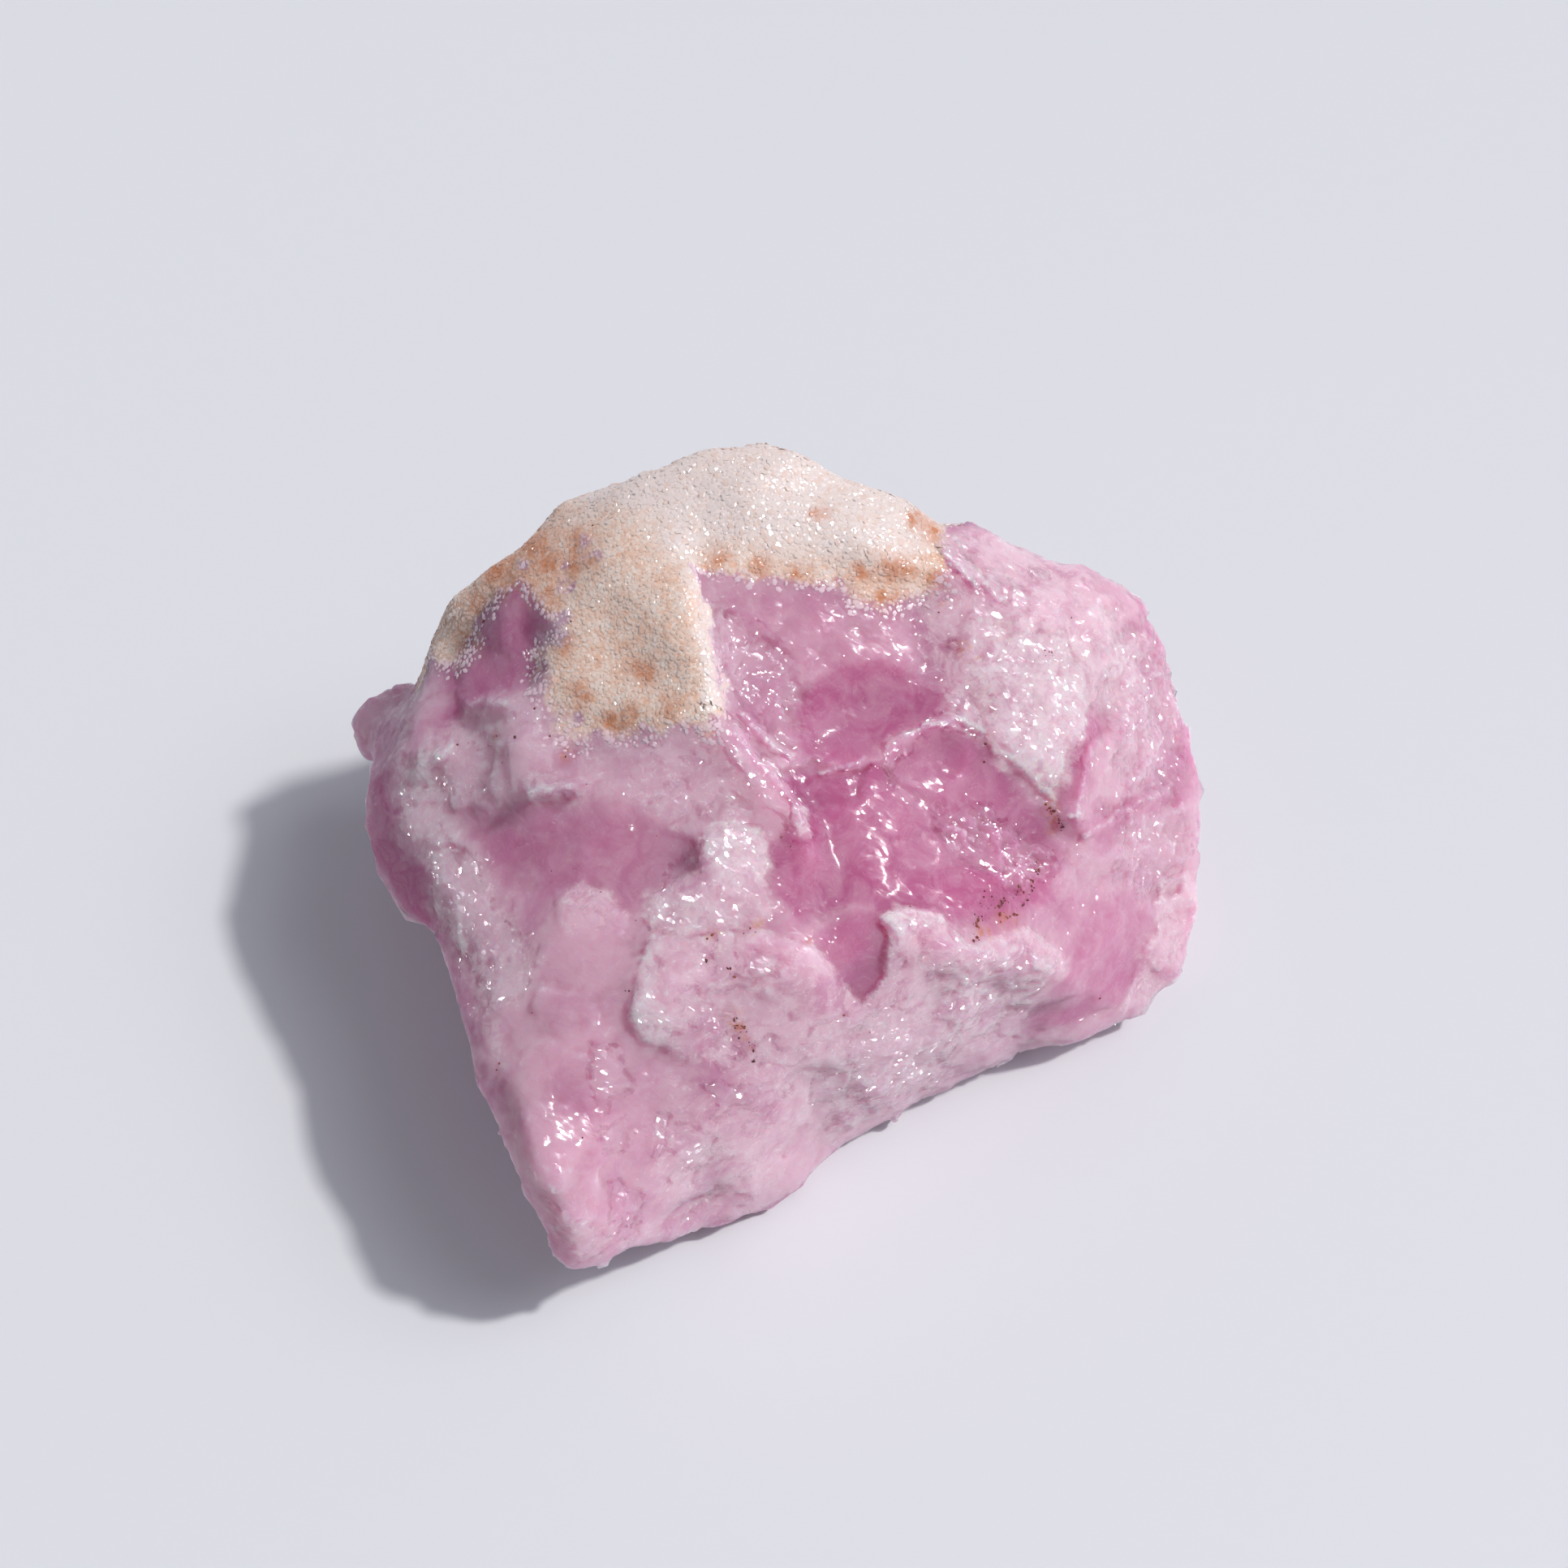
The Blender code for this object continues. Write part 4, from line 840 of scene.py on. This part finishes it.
faces = (grain_faces[None] + (np.arange(count) * len(grain_points))[:, None, None]).reshape(-1, 3)
sugar_mesh = bpy.data.meshes.new("sugar_crust")
sugar_mesh.from_pydata(grains, [], faces)
sugar = add_piece("sugar_crust", sugar_mesh)
for name, values in [("crust", cover), ("snow", snowy), ("rust", rusty), ("tone", rng.random(count)),
                     ("soft_normal", leans)]:
    store(sugar_mesh, name, np.repeat(values, len(grain_points), axis=0))

crystal = Nodes(bpy.data.materials.new("sugar_grains"))
place = crystal.add("TexCoord", out="Object")
crust, snow, rust, tone = (crystal.read(name) for name in ("crust", "snow", "rust", "tone"))
fleck = crystal.noise(place, 1.1, 4.0, 0.7)
skin = crystal.mix(crystal.stretch(fleck, 0.35, 0.65), "peach", "cream")
skin = crystal.mix(crystal.maths("MULTIPLY", snow, 0.9), skin, "sugar")
lace = crystal.noise(place, 0.95, 5.0, 0.65, 1.2)
skin = crystal.mix(crystal.stretch(tone, 0.6, 1.0, 0.0, 0.5), skin, "cream")
skin = crystal.mix(crystal.stretch(tone, 0.0, 0.35, 0.4, 0.0), skin, "peach")
skin = crystal.mix(crystal.times(rust, crystal.stretch(lace, 0.35, 0.6, 0.5, 1.0)), skin, "orange")
skin = crystal.mix(crystal.stretch(crust, 0.2, 0.9), "veil", skin)
crystal.plug(crystal.shader.inputs["Base Color"], skin)
crystal.plug(crystal.shader.inputs["Normal"], crystal.soft_normal(0.14)[0])
crystal.shader.inputs["Roughness"].default_value = 0.4
crystal.shader.inputs["IOR"].default_value = 1.5
crystal.shader.inputs["Specular IOR Level"].default_value = 0.2
crystal.shader.inputs["Coat Weight"].default_value = 1.0
crystal.shader.inputs["Coat Roughness"].default_value = 0.2
crystal.shader.inputs["Coat IOR"].default_value = 1.9
sugar_mesh.materials.append(crystal.owner)
sugar.visible_shadow = False
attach(sugar, "root")

# The iron specks: dark red-brown grains, caught one by one and in little strings in the cracks of the break.
# Each is a small faceted bead, half sunk, and lies where the eye sees it: across, up and radius, in mm.
SPECKS = [(-14.7, 19.9, 0.12), (-21.3, 14.6, 0.10), (-23.1, 12.5, 0.14), (-16.4, 12.5, 0.15),
          (-19.2, 5.8, 0.14), (-18.0, 3.7, 0.08), (-20.7, 3.6, 0.12), (-22.1, 3.7, 0.08),
          (-16.8, 2.1, 0.08), (-3.3, 22.8, 0.10), (22.1, 12.8, 0.10), (15.5, 3.1, 0.10), (15.4, 1.7, 0.10),
          (9.7, -9.4, 0.10), (-0.2, -4.1, 0.08), (0.5, -4.8, 0.08), (-1.1, -10.4, 0.08), (4.6, -17.8, 0.10),
          (6.6, -19.1, 0.08), (24.3, -16.5, 0.12), (-21.9, -21.5, 0.10), (-22.1, -22.0, 0.08),
          (-5.5, -11.6, 0.15), (-5.9, -11.9, 0.10), (-5.1, -12.0, 0.08), (-2.6, -11.1, 0.10),
          (-2.2, -11.4, 0.08), (-3.1, -11.5, 0.08), (-14.1, -8.3, 0.08), (-15.5, -27.2, 0.10),
          (-19.4, -17.6, 0.06), (-11.9, -15.9, 0.08), (-12.2, -15.9, 0.06), (-11.4, -10.5, 0.08),
          (-15.2, 0.0, 0.06), (-17.9, -6.7, 0.06), (-9.8, -4.0, 0.06), (11.9, 13.2, 0.08)]
# Swarms of them: the two corners that each lies between, and how many there are in it.
SPECK_SWARMS = [
    ((14.4, -12.5, 20.8, -7.5), 74),
    ((-3.9, -17.6, -2.2, -20.1), 30),
    ((19.9, 11.0, 21.2, 9.1), 7),
    ((-6.1, -13.4, -3.5, -14.4), 9),
    ((20.1, -1.4, 21.6, -3.0), 22),
    ((16.2, -9.6, 18.5, -8.4), 16),
    ((-25.4, 4.1, -20.4, 1.9), 6),
]

rng = np.random.default_rng(11)
bead_points, bead_faces = ball()
dots = [(across, up, size) for across, up, size in SPECKS]
for (left, bottom, right, top), number in SPECK_SWARMS:
    for share_x, share_y, size in rng.random((number, 3)):
        swing = 0.3 + 0.4 * math.sin(9.0 * share_x)
        up = bottom + (top - bottom) * (share_x + swing * share_y)
        dots.append((left + (right - left) * share_x, up, 0.05 + 0.10 * size ** 2))
skin_of_stone = BVHTree.FromObject(stone, bpy.context.evaluated_depsgraph_get())
shapes = []
for across, up, size in dots:
    target = AIM + (ACROSS * across + UPWARD * up) * MM
    spot, lean, _, _ = skin_of_stone.ray_cast(EYE, (target - EYE).normalized())
    turn = rng.normal(size=(3, 3))
    shape = bead_points @ np.linalg.qr(turn)[0] * rng.uniform(0.6, 1.3, (1, 3)) * size * MM
    shapes.append(np.clip(shape + np.array(spot) - np.array(lean) * 0.3 * size * MM, low, high))
faces = np.concatenate([bead_faces + len(bead_points) * number for number in range(len(dots))])
speck_mesh = bpy.data.meshes.new("iron_specks")
speck_mesh.from_pydata(np.concatenate(shapes), [], faces)
specks = add_piece("iron_specks", speck_mesh)
bpy.ops.object.mode_set(mode="EDIT")
bpy.ops.mesh.select_all(action="SELECT")
bpy.ops.mesh.normals_make_consistent(inside=False)
bpy.ops.object.mode_set(mode="OBJECT")

iron = Nodes(bpy.data.materials.new("iron_stain"))
place = iron.add("TexCoord", out="Object")
COLOURS.update({"dark iron": (0.085, 0.020, 0.018), "red iron": (0.30, 0.085, 0.045)})
reddish = iron.stretch(iron.noise(place, 2.0, 2.0), 0.4, 0.6)
iron.plug(iron.shader.inputs["Base Color"], iron.mix(reddish, "dark iron", "red iron"))
iron.plug(iron.shader.inputs["Roughness"], iron.stretch(iron.noise(place, 0.1, 2.0), 0.3, 0.7, 0.35, 0.6))
speck_mesh.materials.append(iron.owner)
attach(specks, "root")

# The floor: a wide, pale, matt table top that the stone stands on. It is a plain round sheet, and isn't part
# of the object.
bpy.ops.object.select_all(action="DESELECT")
bpy.ops.mesh.primitive_circle_add(vertices=96, radius=2.5, fill_type="NGON", location=(0.0, 0.0, -0.02 * MM))
floor = bpy.context.active_object
floor.name = "floor"
table = Nodes(bpy.data.materials.new("pale_table"))
table.shader.inputs["Base Color"].default_value = (0.76, 0.76, 0.79, 1.0)
table.shader.inputs["Roughness"].default_value = 0.6
floor.data.materials.append(table.owner)

# The light: a small bright lamp high on the right and a little behind, and a soft sky. The sky has a wide
# glow round the lamp, which the glassy facets mirror.
LAMP_SIDE = Vector((0.78, 0.06, 1.0))
SKY_STRENGTH = 0.31
GLOW_STRENGTH = 4.0
GLOW_REACH = math.radians(22.0)
bpy.ops.object.light_add(type="SUN", rotation=LAMP_SIDE.to_track_quat("Z", "Y").to_euler())
key = bpy.context.active_object
key.data.energy = 1.98
key.data.angle = math.radians(4.0)
key.data.color = (1.0, 0.985, 0.965)
sky = Nodes(bpy.data.worlds.new("soft_sky"))
nearness = sky.vectors("DOT_PRODUCT", sky.add("TexCoord", out="Generated"), LAMP_SIDE.normalized(), "Value")
glow = sky.stretch(nearness, math.cos(GLOW_REACH), 1.0, SKY_STRENGTH, GLOW_STRENGTH)
background = sky.tree.nodes["Background"]
sky.plug(background.inputs["Strength"], glow)
background.inputs["Color"].default_value = (0.86, 0.9, 1.0, 1.0)
bpy.context.scene.world = sky.owner
bpy.context.scene.view_settings.view_transform = "Standard"
